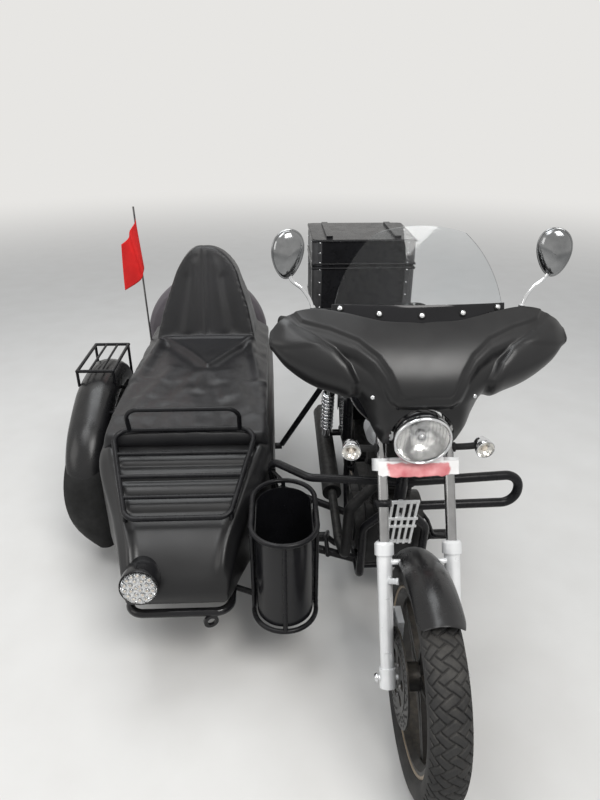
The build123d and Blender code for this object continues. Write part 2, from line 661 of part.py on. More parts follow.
def tail_lamp():
    back = 1765
    lamp = block((-60, 60), (back, back + 38), (690, 742))
    bracket = block((-14, 14), (back - 60, back + 6), (700, 712))
    plate = block((-100, 100), (back + 8, back + 11), (560, 690))
    holes = [Pos(side * 80, back + 9, 672) * Rot(90, 0, 0) * Cylinder(3.5, 20) for side in (-1, 1)]
    rod_up = rod((0, 1640, 732), (0, back - 50, 706), 9)
    return fuse([lamp, bracket, plate, rod_up]) - holes


# Sidecar
# Tub sections: y, half width, floor, top, corner radius
TUB = [
    (284, 158, 318, 352, 15),
    (298, 165, 309, 386, 22),
    (322, 173, 301, 418, 26),
    (356, 183, 295, 452, 32),
    (400, 196, 290, 484, 36),
    (470, 220, 285, 522, 40),
    (715, 306, 280, 640, 44),
    (1000, 308, 280, 660, 44),
    (1600, 300, 282, 668, 44),
    (1790, 280, 292, 652, 50),
    (1890, 250, 316, 610, 56),
]
TUB_WALL = 6
COCKPIT = (770, 1590)
# Ridges along both sides of the nose: half spacing, y, z
NOSE_RIDGE = [(264, 712, 634), (178, 452, 506), (150, 372, 452), (138, 300, 356)]
RIDGE_RADIUS = 20
# Ribs across the nose: y, z, half length
NOSE_RIBS = [(500, 529, 190), (548, 552, 206), (596, 575, 222), (644, 598, 236)]


def tub_loft(shrink):
    """The tub from section to section, or the hollow that leaves its wall."""
    sections = []
    for y, half, low, high, corner in TUB:
        end = shrink if y == TUB[0][0] else -shrink if y == TUB[-1][0] else 0
        level = Plane(origin=(TUB_X, y + end, (low + high) / 2), x_dir=(1, 0, 0), z_dir=(0, 1, 0))
        outline = RectangleRounded(2 * (half - shrink), high - low - 2 * shrink, corner - shrink)
        sections.append(level * outline)
    return loft(sections, ruled=True)


def tub_bulk():
    paths = [[(TUB_X + side * x, y, z) for x, y, z in NOSE_RIDGE] for side in (-1, 1)]
    ridges = [tube(path, RIDGE_RADIUS, 40) for path in paths]
    ribs = [rod((TUB_X - half, y, z), (TUB_X + half, y, z), 14) for y, z, half in NOSE_RIBS]
    return fuse([tub_loft(0), *ridges, *ribs])


TUB_BULK = tub_bulk()


def sidecar_tub():
    opening = block((TUB_X - 240, TUB_X + 240), COCKPIT, (600, 800))
    return TUB_BULK - tub_loft(TUB_WALL) - opening


def tonneau_cover():
    side = make_face([
        Line((705, 664), (1440, 676)),
        Line((1440, 676), (1790, 672)),
        Line((1790, 672), (1650, 1090)),
        ThreePointArc((1650, 1090), (1625, 1132), (1580, 1108)),
        Line((1580, 1108), (1470, 740)),
        Line((1470, 740), (705, 684)),
        Line((705, 684), (705, 664)),
    ])
    profile = slab(side, (TUB_X - 320, TUB_X + 320))
    front = make_face([
        Line((-272, 660), (272, 660)),
        Line((272, 660), (272, 690)),
        Line((272, 690), (222, 730)),
        Line((222, 730), (202, 880)),
        Line((202, 880), (166, 1020)),
        ThreePointArc((166, 1020), (0, 1136), (-166, 1020)),
        Line((-166, 1020), (-202, 880)),
        Line((-202, 880), (-222, 730)),
        Line((-222, 730), (-272, 690)),
        Line((-272, 690), (-272, 660)),
    ])
    shape = Plane(origin=(TUB_X, 600, 0), x_dir=(1, 0, 0), z_dir=(0, -1, 0)) * front
    return profile & extrude(shape, -1300)


# Cross bars of the nose rack, along its slope
RACK_BARS = (75, 150, 235)
RACK_SLOPE = 29


def nose_rack():
    """Luggage rack over the nose: a round-cornered frame, cross bars, a hoop that stands up and four feet."""
    deck = Plane(origin=(TUB_X, 425, 540), x_dir=(1, 0, 0),
                 z_dir=(0, -sin(radians(RACK_SLOPE)), cos(radians(RACK_SLOPE))))

    def line(points, radius, bend):
        return tube([deck.from_local_coords(Vector(*p)) for p in points], radius, bend)

    low = line([(-208, 165, 0), (-165, 0, 0), (165, 0, 0), (208, 165, 0)], 9, 44)
    high = line([(-208, 165, 0), (-250, 330, 0), (250, 330, 0), (208, 165, 0)], 9, 44)
    pieces = [low, high]
    for along in RACK_BARS:
        half = 165 + 85 * along / 330
        pieces.append(line([(-half, along, 0), (half, along, 0)], 7, 0))
    pieces.append(line([(-190, 328, 0), (-192, 350, 96), (192, 350, 96), (190, 328, 0)], 8, 42))
    for x, y in ((-170, 24), (170, 24), (-236, 296), (236, 296)):
        top = deck.from_local_coords(Vector(x, y, 0))
        pieces.append(rod(top, (top.X, top.Y - 4, top.Z - 78), 8))
    return fuse(pieces)


NOSE_LAMP_AT = (TUB_X - 112, 322, 392)


def nose_lamp():
    face = Plane(origin=NOSE_LAMP_AT, z_dir=(0, -1, 0.25))
    pod = face * Pos(0, 0, -90) * Cylinder(60, 96, align=BASE)
    lens = face * Pos(0, 0, 6) * Cylinder(52, 8, align=BASE)
    return pod, lens


BUMPER_Z = 262


def nose_bumper():
    x = TUB_X
    bar = tube([(x - 160, 500, CHASSIS_Z), (x - 165, 300, BUMPER_Z), (x + 165, 300, BUMPER_Z),
                (x + 160, 500, CHASSIS_Z)], 14, 50)
    place = Pos(x + 100, 291, BUMPER_Z - 30) * Rot(0, 0, 20) * Rot(90, 0, 0)
    ring = place * (Cylinder(24, 10) - Cylinder(13, 12))
    return bar + ring


CHASSIS_Z = 250


# Outriggers that the struts meet, outside the tub
STRUT_X = -372
STRUT_FEET = (655, 980, 1330)


def sidecar_chassis():
    x, z = TUB_X, CHASSIS_Z
    pieces = []
    for side in (-1, 1):
        pieces.append(tube([(x + side * 160, 500, z), (x + side * 225, 640, z), (x + side * 225, 1700, z),
                            (x + side * 170, 1850, z)], 17, 60))
    for y, half in ((640, 225), (980, 225), (SIDE_AXLE.Y + 40, 225), (1600, 225), (1842, 172)):
        pieces.append(rod((x - half, y, z), (x + half, y, z), 15))
    for side in (-1, 1):
        pieces += [rod((x + side * 205, y, z), (x + side * 205, y, 292), 20) for y in (760, 1500)]
    pieces += [rod((x + 225, y, z), (STRUT_X, y, z), 15) for y in STRUT_FEET]
    return fuse(pieces)


def sidecar_struts():
    z = CHASSIS_Z
    upper = [(-8, 444, 648), (-290, 476, 650), (-415, 600, 640), (STRUT_X, STRUT_FEET[0], z + 8)]
    return fuse([
        rod((-CRADLE_X - 5, 600, 200), (STRUT_X, STRUT_FEET[0], z), 15),
        rod((-CRADLE_X - 5, 880, 195), (STRUT_X, STRUT_FEET[1], z), 15),
        tube(upper, 13, 50),
        rod((-RAIL_X - 4, 1290, 698), (STRUT_X, STRUT_FEET[2], z + 8), 13),
    ])


def sidecar_suspension():
    """Trailing arm, stub axle and damper of the third wheel."""
    x, y, z = SIDE_AXLE
    arm_x = TUB_X - 331
    pieces = [
        rod((TUB_X - 225, y - 260, CHASSIS_Z), (arm_x - 20, y - 260, CHASSIS_Z), 22),
        rod((arm_x, y - 260, CHASSIS_Z), (arm_x, y, z), 18),
        rod((arm_x + 14, y, z), (x + 56, y, z), 20),
        rod((x + 60, y, z), (x - 64, y, z), AXLE_RADIUS - 0.05),
    ]
    return fuse(pieces)


MUDGUARD_SIDE = (-TRACK - 84, -TRACK + 72)


def sidecar_mudguard():
    """A deep mudguard: rounded over the tyre, its skirt deeper outside than inside, with stays and a flap."""
    left, right = MUDGUARD_SIDE
    outer, wall, skirt = 358, 5, 165

    def section(grow):
        half = (right - left) / 2 - grow
        crown, shoulder = outer - grow, outer - 46
        return make_face([
            Line((-half, outer - skirt), (-half, shoulder)),
            ThreePointArc((-half, shoulder), (-half * 0.72, outer - 13 - grow), (0, crown)),
            ThreePointArc((0, crown), (half * 0.72, outer - 13 - grow), (half, shoulder)),
            Line((half, shoulder), (half, outer - 80)),
            Line((half, outer - 80), (-half, outer - skirt)),
        ])

    inside = Pos(0, -12) * section(wall) + section(wall)
    ring = revolve(section(0), Axis.X, 196) - revolve(inside, Axis.X, 196)
    blade = Pos((left + right) / 2, SIDE_AXLE.Y, SIDE_AXLE.Z) * Rot(-6, 0, 0) * ring
    stays = [rod((right - 3, SIDE_AXLE.Y + dy, 590), (TUB_X - 292, SIDE_AXLE.Y + dy, 592), 8)
             for dy in (-120, 120)]
    front = SIDE_AXLE.Y - outer
    flap = block((left + 12, right - 12), (front - 2, front + 3), (120, 330))
    return fuse([blade, flap, *stays])


def mudguard_rack():
    left, right = MUDGUARD_SIDE
    left, right = left + 2, right - 6
    y0, y1, z = SIDE_AXLE.Y + 20, SIDE_AXLE.Y + 320, 712
    pieces = [rod((left, y0, z), (right, y0, z), 7), rod((left, y1, z), (right, y1, z), 7)]
    for i in range(4):
        x = left + (right - left) * i / 3
        pieces.append(rod((x, y0, z), (x, y1, z), 7 if i in (0, 3) else 5))
    for x in (left, right):
        for y, foot in ((y0, 644), (y1 - 10, 473)):
            pieces.append(rod((x, y, z), (x, y, foot), 6))
    pieces += [Pos(x, y, z) * Sphere(7) for x in (left, right) for y in (y0, y1)]
    return fuse(pieces)


FLAG_POLE = ((-987, 1600, 652), (-1004, 1625, 1300))


def flag_pole():
    return rod(*FLAG_POLE, 4)


def flag():
    x, y, z = FLAG_POLE[1]
    return block((x - 3, x + 3), (y - 181, y - 16), (z - 270, z - 20))


BASKET = dict(x=-372, y=392, half_width=100, half_length=165, low=245, high=585)


def oblong(inset=0):
    return Pos(BASKET["x"], BASKET["y"]) * Rot(0, 0, 90) * SlotOverall(2 * (BASKET["half_length"] - inset),
                                                                    2 * (BASKET["half_width"] - inset))


def basket_cage():
    b = BASKET
    straight = b["half_length"] - b["half_width"]
    x0, x1 = b["x"] - b["half_width"], b["x"] + b["half_width"]
    pieces = []
    for z in (b["low"], b["high"]):
        for end in (-1, 1):
            y1 = b["y"] + end * b["half_length"]
            path = [(x0, b["y"], z), (x0, y1, z), (x1, y1, z), (x1, b["y"], z)]
            pieces.append(tube(path, 8, b["half_width"] - 2))
    for side in (-1, 1):
        for dy in (-straight, straight):
            x = b["x"] + side * b["half_width"]
            pieces.append(rod((x, b["y"] + dy, b["low"]), (x, b["y"] + dy, b["high"]), 7))
    for dy in (-1, 1):
        y = b["y"] + dy * b["half_length"]
        pieces.append(rod((b["x"], y, b["low"]), (b["x"], y, b["high"]), 7))
    front, back = b["y"] - b["half_length"], b["y"] + b["half_length"]
    pieces.append(rod((b["x"], front, b["low"]), (b["x"], back, b["low"]), 8))
    arm_end = (TUB_X + 165, b["y"] + 20, BUMPER_Z - 2)
    pieces.append(rod((b["x"] - b["half_width"], b["y"], b["low"]), arm_end, 10))
    pieces.append(rod((b["x"], b["y"] + b["half_length"] - 4, b["high"]), (-412, 603, 600), 6))
    return fuse(pieces)


def basket_bin():
    b = BASKET
    outer = extrude(Pos(0, 0, b["low"] + 10) * oblong(10), b["high"] - b["low"] - 30)
    return outer - extrude(Pos(0, 0, b["low"] + 14) * oblong(13), 400)


SPARE_AT = (TUB_X - 20, 1966, 600)


def spare_wheel():
    """The spare wheel in its cover, upright behind the tail, and the stub that carries it."""
    disc = Cylinder(308, 118)
    disc = fillet(disc.edges(), 38)
    dish = Pos(0, 0, 52) * Cylinder(150, 20)
    stub = rod((TUB_X, 1880, 480), (TUB_X, 1930, 480), 40)
    return (Pos(*SPARE_AT) * Rot(82, 0, 0) * (disc - dish)) + stub


PARTS = {}
PARTS["front_tyre"], PARTS["front_rim"] = front_wheel()
PARTS["rear_tyre"], PARTS["rear_rim"] = rear_wheel()
PARTS["sidecar_tyre"], PARTS["sidecar_rim"] = side_wheel()
PARTS["fork_tubes"] = fork_tubes()
PARTS["fork_sliders"] = fork_sliders()
PARTS["fork_yokes"] = fork_yokes()
PARTS["handlebar"] = handlebar()
PARTS["fairing"] = fairing()
PARTS["windscreen"] = windscreen()
PARTS["headlamp"], PARTS["headlamp_lens"] = headlamp()
PARTS["turn_signals"] = turn_signals()
PARTS["mirrors"] = mirrors()
PARTS["front_mudguard"] = front_mudguard()
PARTS["screen_band"] = screen_band()
PARTS["gauge"] = gauge()
PARTS["nose_lamp"], PARTS["nose_lamp_lens"] = nose_lamp()
BUILDS = (
    main_frame, engine_case, engine_cylinder, carburettor, fuel_tank, rider_seat, side_panels, rear_mudguard,
    swingarm, chain_case, rear_shocks, exhaust, engine_guard, slatted_guard, foot_controls, rear_rack,
    top_box, top_box_lid, tail_lamp, sidecar_chassis, sidecar_struts, sidecar_suspension, sidecar_tub,
    tonneau_cover, nose_rack, nose_bumper, sidecar_mudguard, mudguard_rack, flag_pole, flag, basket_cage,
    basket_bin, spare_wheel,
)
for build in BUILDS:
    PARTS[build.__name__] = build()

# Each first piece ends on, or is notched round, the pieces after it
SEATS = {
    "turn_signals": ["fork_tubes"],
    "headlamp": ["fork_tubes"],
    "fairing": ["fork_tubes"],
    "mirrors": ["fairing"],
    "windscreen": ["fairing"],
    "screen_band": ["fairing"],
    "gauge": ["handlebar", "fork_yokes"],
    "front_mudguard": ["fork_sliders"],
    "engine_case": ["main_frame"],
    "engine_cylinder": ["engine_case"],
    "carburettor": ["engine_cylinder", "main_frame"],
    "exhaust": ["engine_cylinder"],
    "fuel_tank": ["main_frame"],
    "rider_seat": ["main_frame"],
    "side_panels": ["main_frame"],
    "rear_mudguard": ["main_frame"],
    "swingarm": ["main_frame"],
    "rear_shocks": ["main_frame", "swingarm"],
    "chain_case": ["swingarm"],
    "engine_guard": ["main_frame"],
    "slatted_guard": ["main_frame", "engine_guard"],
    "foot_controls": ["main_frame", "engine_case"],
    "rear_rack": ["main_frame"],
    "tail_lamp": ["main_frame"],
    "sidecar_struts": ["main_frame", "sidecar_chassis"],
    "sidecar_suspension": ["sidecar_chassis"],
    "nose_bumper": ["sidecar_chassis"],
    "mudguard_rack": ["sidecar_mudguard"],
    "flag_pole": ["tonneau_cover"],
    "spare_wheel": ["tonneau_cover"],
    "basket_cage": ["nose_bumper", "sidecar_struts"],
    "basket_bin": ["basket_cage"],
}
ON_TUB = (
    "nose_lamp", "nose_lamp_lens", "nose_rack", "sidecar_chassis", "sidecar_suspension", "sidecar_mudguard",
    "flag_pole", "spare_wheel", "tonneau_cover",
)
for name in ON_TUB:
    PARTS[name] = seated(PARTS[name], [TUB_BULK])
for name, seats in SEATS.items():
    PARTS[name] = seated(PARTS[name], [PARTS[seat] for seat in seats])
for name in ("windscreen", "screen_band"):
    PARTS[name] = PARTS[name].solids().sort_by(SortBy.VOLUME)[-1]

os.makedirs("parts", exist_ok=True)
for name, shape in PARTS.items():
    export_step(Pos(*MIDDLE) * shape, f"parts/{name}.step")
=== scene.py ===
import math
from itertools import product

import bmesh
import bpy
import numpy as np
from mathutils import Matrix, Vector


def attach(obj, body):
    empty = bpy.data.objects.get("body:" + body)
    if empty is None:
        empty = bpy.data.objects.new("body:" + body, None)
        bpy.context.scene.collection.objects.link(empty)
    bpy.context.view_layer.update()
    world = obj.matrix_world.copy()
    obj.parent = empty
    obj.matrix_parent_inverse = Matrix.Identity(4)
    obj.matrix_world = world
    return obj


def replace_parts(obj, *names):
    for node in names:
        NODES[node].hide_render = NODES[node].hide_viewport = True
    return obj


# Looks for a sidecar motorcycle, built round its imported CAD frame. Metres, +Z up, the front faces -Y.

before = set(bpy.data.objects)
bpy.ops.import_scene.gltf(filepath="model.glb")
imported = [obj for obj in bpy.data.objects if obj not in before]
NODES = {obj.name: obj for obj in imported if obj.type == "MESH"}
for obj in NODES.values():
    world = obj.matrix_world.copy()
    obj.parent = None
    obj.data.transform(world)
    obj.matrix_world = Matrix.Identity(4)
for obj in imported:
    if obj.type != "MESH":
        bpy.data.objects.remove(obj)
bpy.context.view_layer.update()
SCENE = bpy.context.scene

# The part is drawn round its front axle, and lies moved by this much
SHIFT = np.array((0.410, -0.875, 0.0))
SIDES = (-1, 1)
STEER = "steering"


# Camera and stage

FOCAL_PX, IMAGE_LONG_PX, SENSOR = 600.4, 800, 36.0
CAMERA_AT = (0.030, -1.988, 1.74)
PITCH, ROLL, YAW = (math.radians(a) for a in (27.05, 0.1, 2.2))


def make_camera():
    """The photo's camera: turned by its yaw, pitched down and rolled."""
    data = bpy.data.cameras.new("camera")
    data.sensor_width = SENSOR
    data.lens = FOCAL_PX / IMAGE_LONG_PX * SENSOR
    data.clip_start, data.clip_end = 0.05, 200
    camera = bpy.data.objects.new("camera", data)
    SCENE.collection.objects.link(camera)
    turn = Matrix.Translation(CAMERA_AT)
    for angle, axis in ((-YAW, "Z"), (math.pi / 2 - PITCH, "X"), (ROLL, "Z")):
        turn = turn @ Matrix.Rotation(angle, 4, axis)
    camera.matrix_world = turn
    SCENE.camera = camera


def lamp(name, at, aim, size, watts, colour):
    """A soft square light at one point, turned to another."""
    data = bpy.data.lights.new(name, "AREA")
    data.shape, data.size, data.energy, data.color = "SQUARE", size, watts, colour
    light = bpy.data.objects.new(name, data)
    light.location = at
    light.rotation_euler = (Vector(aim) - Vector(at)).to_track_quat("-Z", "Y").to_euler()
    SCENE.collection.objects.link(light)


SKY = (0.93, 0.96, 1.0, 1)
BACKDROP = (0.80, 0.79, 0.77, 1)
# The floor keeps its own colour up to the first distance and is all backdrop from the second
FLOOR_FADE = (3.0, 11.0)
FLOOR_REACH = 40


def finish_nodes(tree, kind, factor, first, second):
    """Two shaders mixed by a factor, as the output of a world or a material."""
    mix = node(tree, "MixShader", {0: factor, 1: first.outputs[0], 2: second.outputs[0]})
    node(tree, f"Output{kind}", {0: mix.outputs[0]})


def make_backdrop():
    """The camera, reflections and glass see a pale backdrop, and the part is lit by a dimmer, cooler sky."""
    SCENE.world = bpy.data.worlds.new("studio")
    SCENE.world.use_nodes = True
    tree = SCENE.world.node_tree
    tree.nodes.clear()
    rays = node(tree, "LightPath").outputs
    seen = maths(tree, "MAXIMUM", rays["Is Camera Ray"], rays["Is Glossy Ray"])
    seen = maths(tree, "MAXIMUM", seen, rays["Is Transmission Ray"])
    sky = node(tree, "Background", {"Color": SKY, "Strength": 0.42})
    pale = node(tree, "Background", {"Color": BACKDROP})
    finish_nodes(tree, "World", seen, sky, pale)


def make_floor():
    """A pale floor that keeps the part's shadow and fades into the backdrop."""
    mesh = bpy.data.meshes.new("floor")
    corners = [(x * FLOOR_REACH, y * FLOOR_REACH, 0) for x, y in ((-1, -1), (1, -1), (1, 1), (-1, 1))]
    mesh.from_pydata(corners, [], [(0, 1, 2, 3)])
    floor = bpy.data.objects.new("floor", mesh)
    SCENE.collection.objects.link(floor)
    material = bpy.data.materials.new("pale_floor")
    material.use_nodes = True
    tree = material.node_tree
    tree.nodes.clear()
    where = node(tree, "TexCoord").outputs["Object"]
    length = node(tree, "VectorMath", {0: where}, operation="LENGTH").outputs["Value"]
    start, end = FLOOR_FADE
    fade = node(tree, "MapRange", {"Value": length, "From Min": start, "From Max": end},
                interpolation_type="SMOOTHSTEP").outputs["Result"]
    grain = node(tree, "TexNoise", {"Vector": where, "Scale": 5.0, "Detail": 8.0}).outputs["Fac"]
    paint = node(tree, "BsdfDiffuse", {"Color": blend(tree, grain, (0.70, 0.685, 0.66), (0.78, 0.77, 0.75))})
    far = node(tree, "Emission", {"Color": BACKDROP})
    finish_nodes(tree, "Material", fade, paint, far)
    mesh.materials.append(material)


def make_lights():
    """Four soft lights: one from the front right, one from above and behind, and two weaker ones."""
    lamp("key", (1.2, -2.6, 4.0), (0.0, -0.2, 0.5), 1.7, 92, (1.0, 0.99, 0.97))
    lamp("sky", (-0.6, 1.2, 4.6), (-0.1, 0.0, 0.6), 2.4, 74, (0.95, 0.98, 1.0))
    lamp("nose", (-1.3, -1.2, 4.3), (-0.3, -0.4, 0.5), 1.6, 34, (0.98, 0.99, 1.0))
    lamp("side", (-3.6, -1.6, 2.2), (-0.2, -0.1, 0.5), 2.0, 22, (1.0, 0.98, 0.95))


# Materials

def nodes_of(material):
    material.use_nodes = True
    tree = material.node_tree
    return tree, next(n for n in tree.nodes if n.type == "BSDF_PRINCIPLED")


def node(tree, kind, inputs=None, **settings):
    """A new node with its settings, whose inputs are set to values or linked to sockets."""
    made = tree.nodes.new("ShaderNode" + kind)
    for key, value in settings.items():
        setattr(made, key, value)
    for key, value in (inputs or {}).items():
        if isinstance(value, bpy.types.NodeSocket):
            tree.links.new(value, made.inputs[key])
        else:
            made.inputs[key].default_value = value
    return made


def noise(tree, scale, detail=4.0, rough=0.55, distort=0.0):
    """A noise value read from the object's own coordinates."""
    where = node(tree, "TexCoord").outputs["Object"]
    return node(tree, "TexNoise", {"Vector": where, "Scale": scale, "Detail": detail, "Roughness": rough,
                                   "Distortion": distort}).outputs["Fac"]


def ranged(tree, value, low, high, start=0.3, end=0.7):
    """A value from start to end, stretched over low to high."""
    return node(tree, "MapRange", {"Value": value, "From Min": start, "From Max": end, "To Min": low,
                                   "To Max": high}).outputs["Result"]


def blend(tree, factor, a, b):
    """Two colours, or sockets of colour, mixed by a factor."""
    a, b = ((*colour, 1) if isinstance(colour, tuple) else colour for colour in (a, b))
    return node(tree, "Mix", {"Factor": factor, "A": a, "B": b}, data_type="RGBA").outputs["Result"]


def maths(tree, operation, a, b):
    return node(tree, "Math", {0: a, 1: b}, operation=operation).outputs[0]


def bump(tree, shader, height, strength, distance):
    """Adds a height to the bumps that a shader has."""
    inputs = {"Strength": strength, "Distance": distance, "Height": height}
    old = shader.inputs["Normal"].links
    if old:
        inputs["Normal"] = old[0].from_socket
    tree.links.new(node(tree, "Bump", inputs).outputs["Normal"], shader.inputs["Normal"])


def facing_up(tree):
    """0 on sides and undersides, up to 1 on surfaces that face up."""
    split = node(tree, "SeparateXYZ", {0: node(tree, "TexCoord").outputs["Normal"]})
    return ranged(tree, split.outputs["Z"], 0.0, 1.0, 0.35, 0.98)


MATERIALS = {}


def surface(name, dark, light, rough, metallic=0.0, patch=6.0, grain=(260.0, 0.12, 0.0004), dust=0.0,
            dust_colour=(0.30, 0.28, 0.25), specular=0.5):
    """A painted, moulded or metal surface: mottled colour, uneven gloss, fine grain and settled dust."""
    material = bpy.data.materials.new(name)
    tree, shader = nodes_of(material)
    colour = blend(tree, ranged(tree, noise(tree, patch, 6.0, 0.6), 0.0, 1.0), dark, light)
    if dust:
        speck = ranged(tree, noise(tree, patch * 4, 9.0, 0.7), 0.25, 1.0, 0.38, 0.66)
        amount = maths(tree, "MULTIPLY", maths(tree, "MULTIPLY", facing_up(tree), speck), dust)
        colour = blend(tree, amount, colour, dust_colour)
    tree.links.new(colour, shader.inputs["Base Color"])
    smear = noise(tree, patch * 2.3, 7.0, 0.65, 0.4)
    tree.links.new(ranged(tree, smear, *rough), shader.inputs["Roughness"])
    shader.inputs["Metallic"].default_value = metallic
    shader.inputs["Specular IOR Level"].default_value = specular
    scale, strength, distance = grain
    bump(tree, shader, noise(tree, scale, 3.0, 0.6), strength, distance)
    MATERIALS[name] = material
    return material


# The dark and light colour of the black paints and of the hides, and the grain of polished surfaces
BLACK = (0.006, 0.006, 0.007), (0.012, 0.012, 0.014)
HIDE = (0.006, 0.006, 0.007), (0.014, 0.014, 0.016)
POLISHED = (60.0, 0.03, 0.0003)
LACQUERED = (90.0, 0.03, 0.0003)


def make_paints():
    surface("shell_black", (0.006, 0.006, 0.0065), (0.011, 0.011, 0.012), (0.30, 0.40), patch=3.0,
            grain=(420.0, 0.08, 0.0003), dust=0.015, specular=0.42)
    surface("satin_black", *BLACK, (0.22, 0.34), patch=9.0, grain=(160.0, 0.08, 0.0004), dust=0.03,
            specular=0.18)
    surface("gloss_black", *BLACK, (0.08, 0.18), patch=4.0, grain=LACQUERED, dust=0.03, specular=0.3)
    surface("bin_black", *BLACK, (0.16, 0.26), patch=8.0, dust=0.03, specular=0.32)
    surface("guard_black", (0.005, 0.005, 0.0055), (0.010, 0.010, 0.011), (0.22, 0.34), patch=5.0,
            grain=LACQUERED, dust=0.02, specular=0.42)
    surface("engine_black", (0.008, 0.008, 0.009), (0.028, 0.028, 0.028), (0.36, 0.58), metallic=0.2,
            patch=18.0, grain=(240.0, 0.25, 0.0006), dust=0.12, specular=0.25)
    # Near-black for the brake disc's holes: painted shade standing in for the dark inside of a hole
    surface("hole_painted_shade", (0.003, 0.003, 0.003), (0.008, 0.008, 0.008), (0.6, 0.9))
    surface("silver_paint", (0.80, 0.81, 0.815), (0.92, 0.925, 0.93), (0.26, 0.38), metallic=0.3, patch=10.0,
            grain=(300.0, 0.10, 0.0003))


def make_metals():
    surface("chrome", (0.62, 0.63, 0.65), (0.80, 0.81, 0.82), (0.05, 0.16), metallic=1.0, patch=14.0,
            grain=POLISHED)
    surface("dark_chrome", (0.20, 0.205, 0.21), (0.34, 0.345, 0.35), (0.06, 0.2), metallic=1.0, patch=16.0,
            grain=POLISHED)
    surface("tube_chrome", (0.30, 0.30, 0.30), (0.46, 0.46, 0.465), (0.10, 0.24), metallic=1.0, patch=10.0)
    surface("mirror_silver", (0.75, 0.76, 0.77), (0.9, 0.9, 0.9), (0.04, 0.12), metallic=1.0, patch=20.0,
            grain=(50.0, 0.02, 0.0002))
    surface("reflector", (0.82, 0.82, 0.82), (0.95, 0.95, 0.94), (0.12, 0.28), metallic=1.0, patch=24.0)
    surface("dark_steel", (0.10, 0.10, 0.105), (0.22, 0.215, 0.21), (0.32, 0.5), metallic=0.9, patch=20.0,
            grain=(300.0, 0.2, 0.0004))
    surface("rim_dark", (0.018, 0.018, 0.019), (0.05, 0.048, 0.045), (0.30, 0.5), metallic=0.5, patch=14.0,
            grain=(200.0, 0.15, 0.0004), dust=0.25, dust_colour=(0.22, 0.18, 0.13))
    surface("rim_bronze", (0.26, 0.20, 0.14), (0.40, 0.33, 0.25), (0.28, 0.5), metallic=0.8, patch=16.0)
    surface("box_edge", (0.05, 0.05, 0.052), (0.10, 0.10, 0.105), (0.3, 0.5), metallic=0.7, patch=12.0)


def make_soft_materials():
    surface("rubber", (0.008, 0.008, 0.008), (0.02, 0.02, 0.02), (0.5, 0.7), patch=20.0,
            grain=(500.0, 0.3, 0.0004), specular=0.2)
    surface("tyre", (0.016, 0.016, 0.017), (0.045, 0.044, 0.042), (0.70, 0.9), patch=9.0,
            grain=(420.0, 0.3, 0.0006), dust=0.25, dust_colour=(0.17, 0.155, 0.135), specular=0.35)
    surface("leather_plain", *HIDE, (0.34, 0.5), patch=7.0, grain=(600.0, 0.4, 0.0006), specular=0.16)
    surface("leather", *HIDE, (0.30, 0.42), patch=5.0, grain=(38.0, 0.12, 0.001), dust=0.01, specular=0.40)
    surface("cover_grey", (0.070, 0.062, 0.070), (0.105, 0.092, 0.104), (0.45, 0.6), patch=5.0,
            grain=(60.0, 0.25, 0.001), dust=0.12)
    surface("cloth_red", (0.62, 0.012, 0.012), (0.78, 0.022, 0.02), (0.8, 0.95), patch=12.0)
    for name in ("leather", "cover_grey"):
        tree, shader = nodes_of(MATERIALS[name])
        where = node(tree, "TexCoord").outputs["Object"]
        pebbles = node(tree, "TexVoronoi", {"Vector": where, "Scale": 420.0}, feature="DISTANCE_TO_EDGE")
        bump(tree, shader, ranged(tree, pebbles.outputs["Distance"], 0.0, 1.0, 0.0, 0.35), 0.35, 0.0006)


def make_glasses():
    surface("screen_clear", (0.9, 0.93, 0.94), (0.96, 0.97, 0.98), (0.02, 0.06), patch=5.0,
            grain=(12.0, 0.02, 0.0005))
    surface("lens_clear", (0.9, 0.9, 0.9), (0.98, 0.98, 0.98), (0.02, 0.08), patch=8.0)
    surface("lens_ivory", (0.86, 0.84, 0.80), (0.95, 0.94, 0.9), (0.04, 0.12), patch=20.0)
    for name in ("screen_clear", "lens_clear", "lens_ivory"):
        _, shader = nodes_of(MATERIALS[name])
        shader.inputs["Transmission Weight"].default_value = 1.0
        shader.inputs["IOR"].default_value = 1.3
    surface("lens_red", (0.30, 0.008, 0.006), (0.42, 0.012, 0.01), (0.08, 0.16), patch=20.0)
    surface("bulb_warm", (0.86, 0.76, 0.66), (0.95, 0.88, 0.80), (0.2, 0.4), patch=60.0)


FILM_PRINT = {"half": 0.103, "top": 0.840}


def make_film():
    """White film with a pink print, which ends raggedly at both sides and below the top edge."""
    material = surface("film", (0.84, 0.82, 0.81), (0.93, 0.92, 0.91), (0.3, 0.5), patch=12.0)
    tree, shader = nodes_of(material)
    pink = blend(tree, ranged(tree, noise(tree, 26.0, 5.0), 0.0, 1.0), (0.62, 0.16, 0.18), (0.80, 0.36, 0.36))
    spot = node(tree, "SeparateXYZ", {0: node(tree, "TexCoord").outputs["Object"]}).outputs

    def within(value, ripple, scale, detail, limit, soft):
        ragged = maths(tree, "MULTIPLY", noise(tree, scale, detail), ripple)
        return ranged(tree, maths(tree, "ADD", value, ragged), 1.0, 0.0, limit - soft, limit + soft)

    off = maths(tree, "ABSOLUTE", maths(tree, "SUBTRACT", spot[0], SHIFT[0]), 0.0)
    wide = within(off, 0.035, 26.0, 4.0, FILM_PRINT["half"], 0.003)
    high = within(spot[2], 0.012, 40.0, 3.0, FILM_PRINT["top"], 0.002)
    white = shader.inputs["Base Color"].links[0].from_socket
    printed = blend(tree, maths(tree, "MULTIPLY", wide, high), white, pink)
    tree.links.new(printed, shader.inputs["Base Color"])


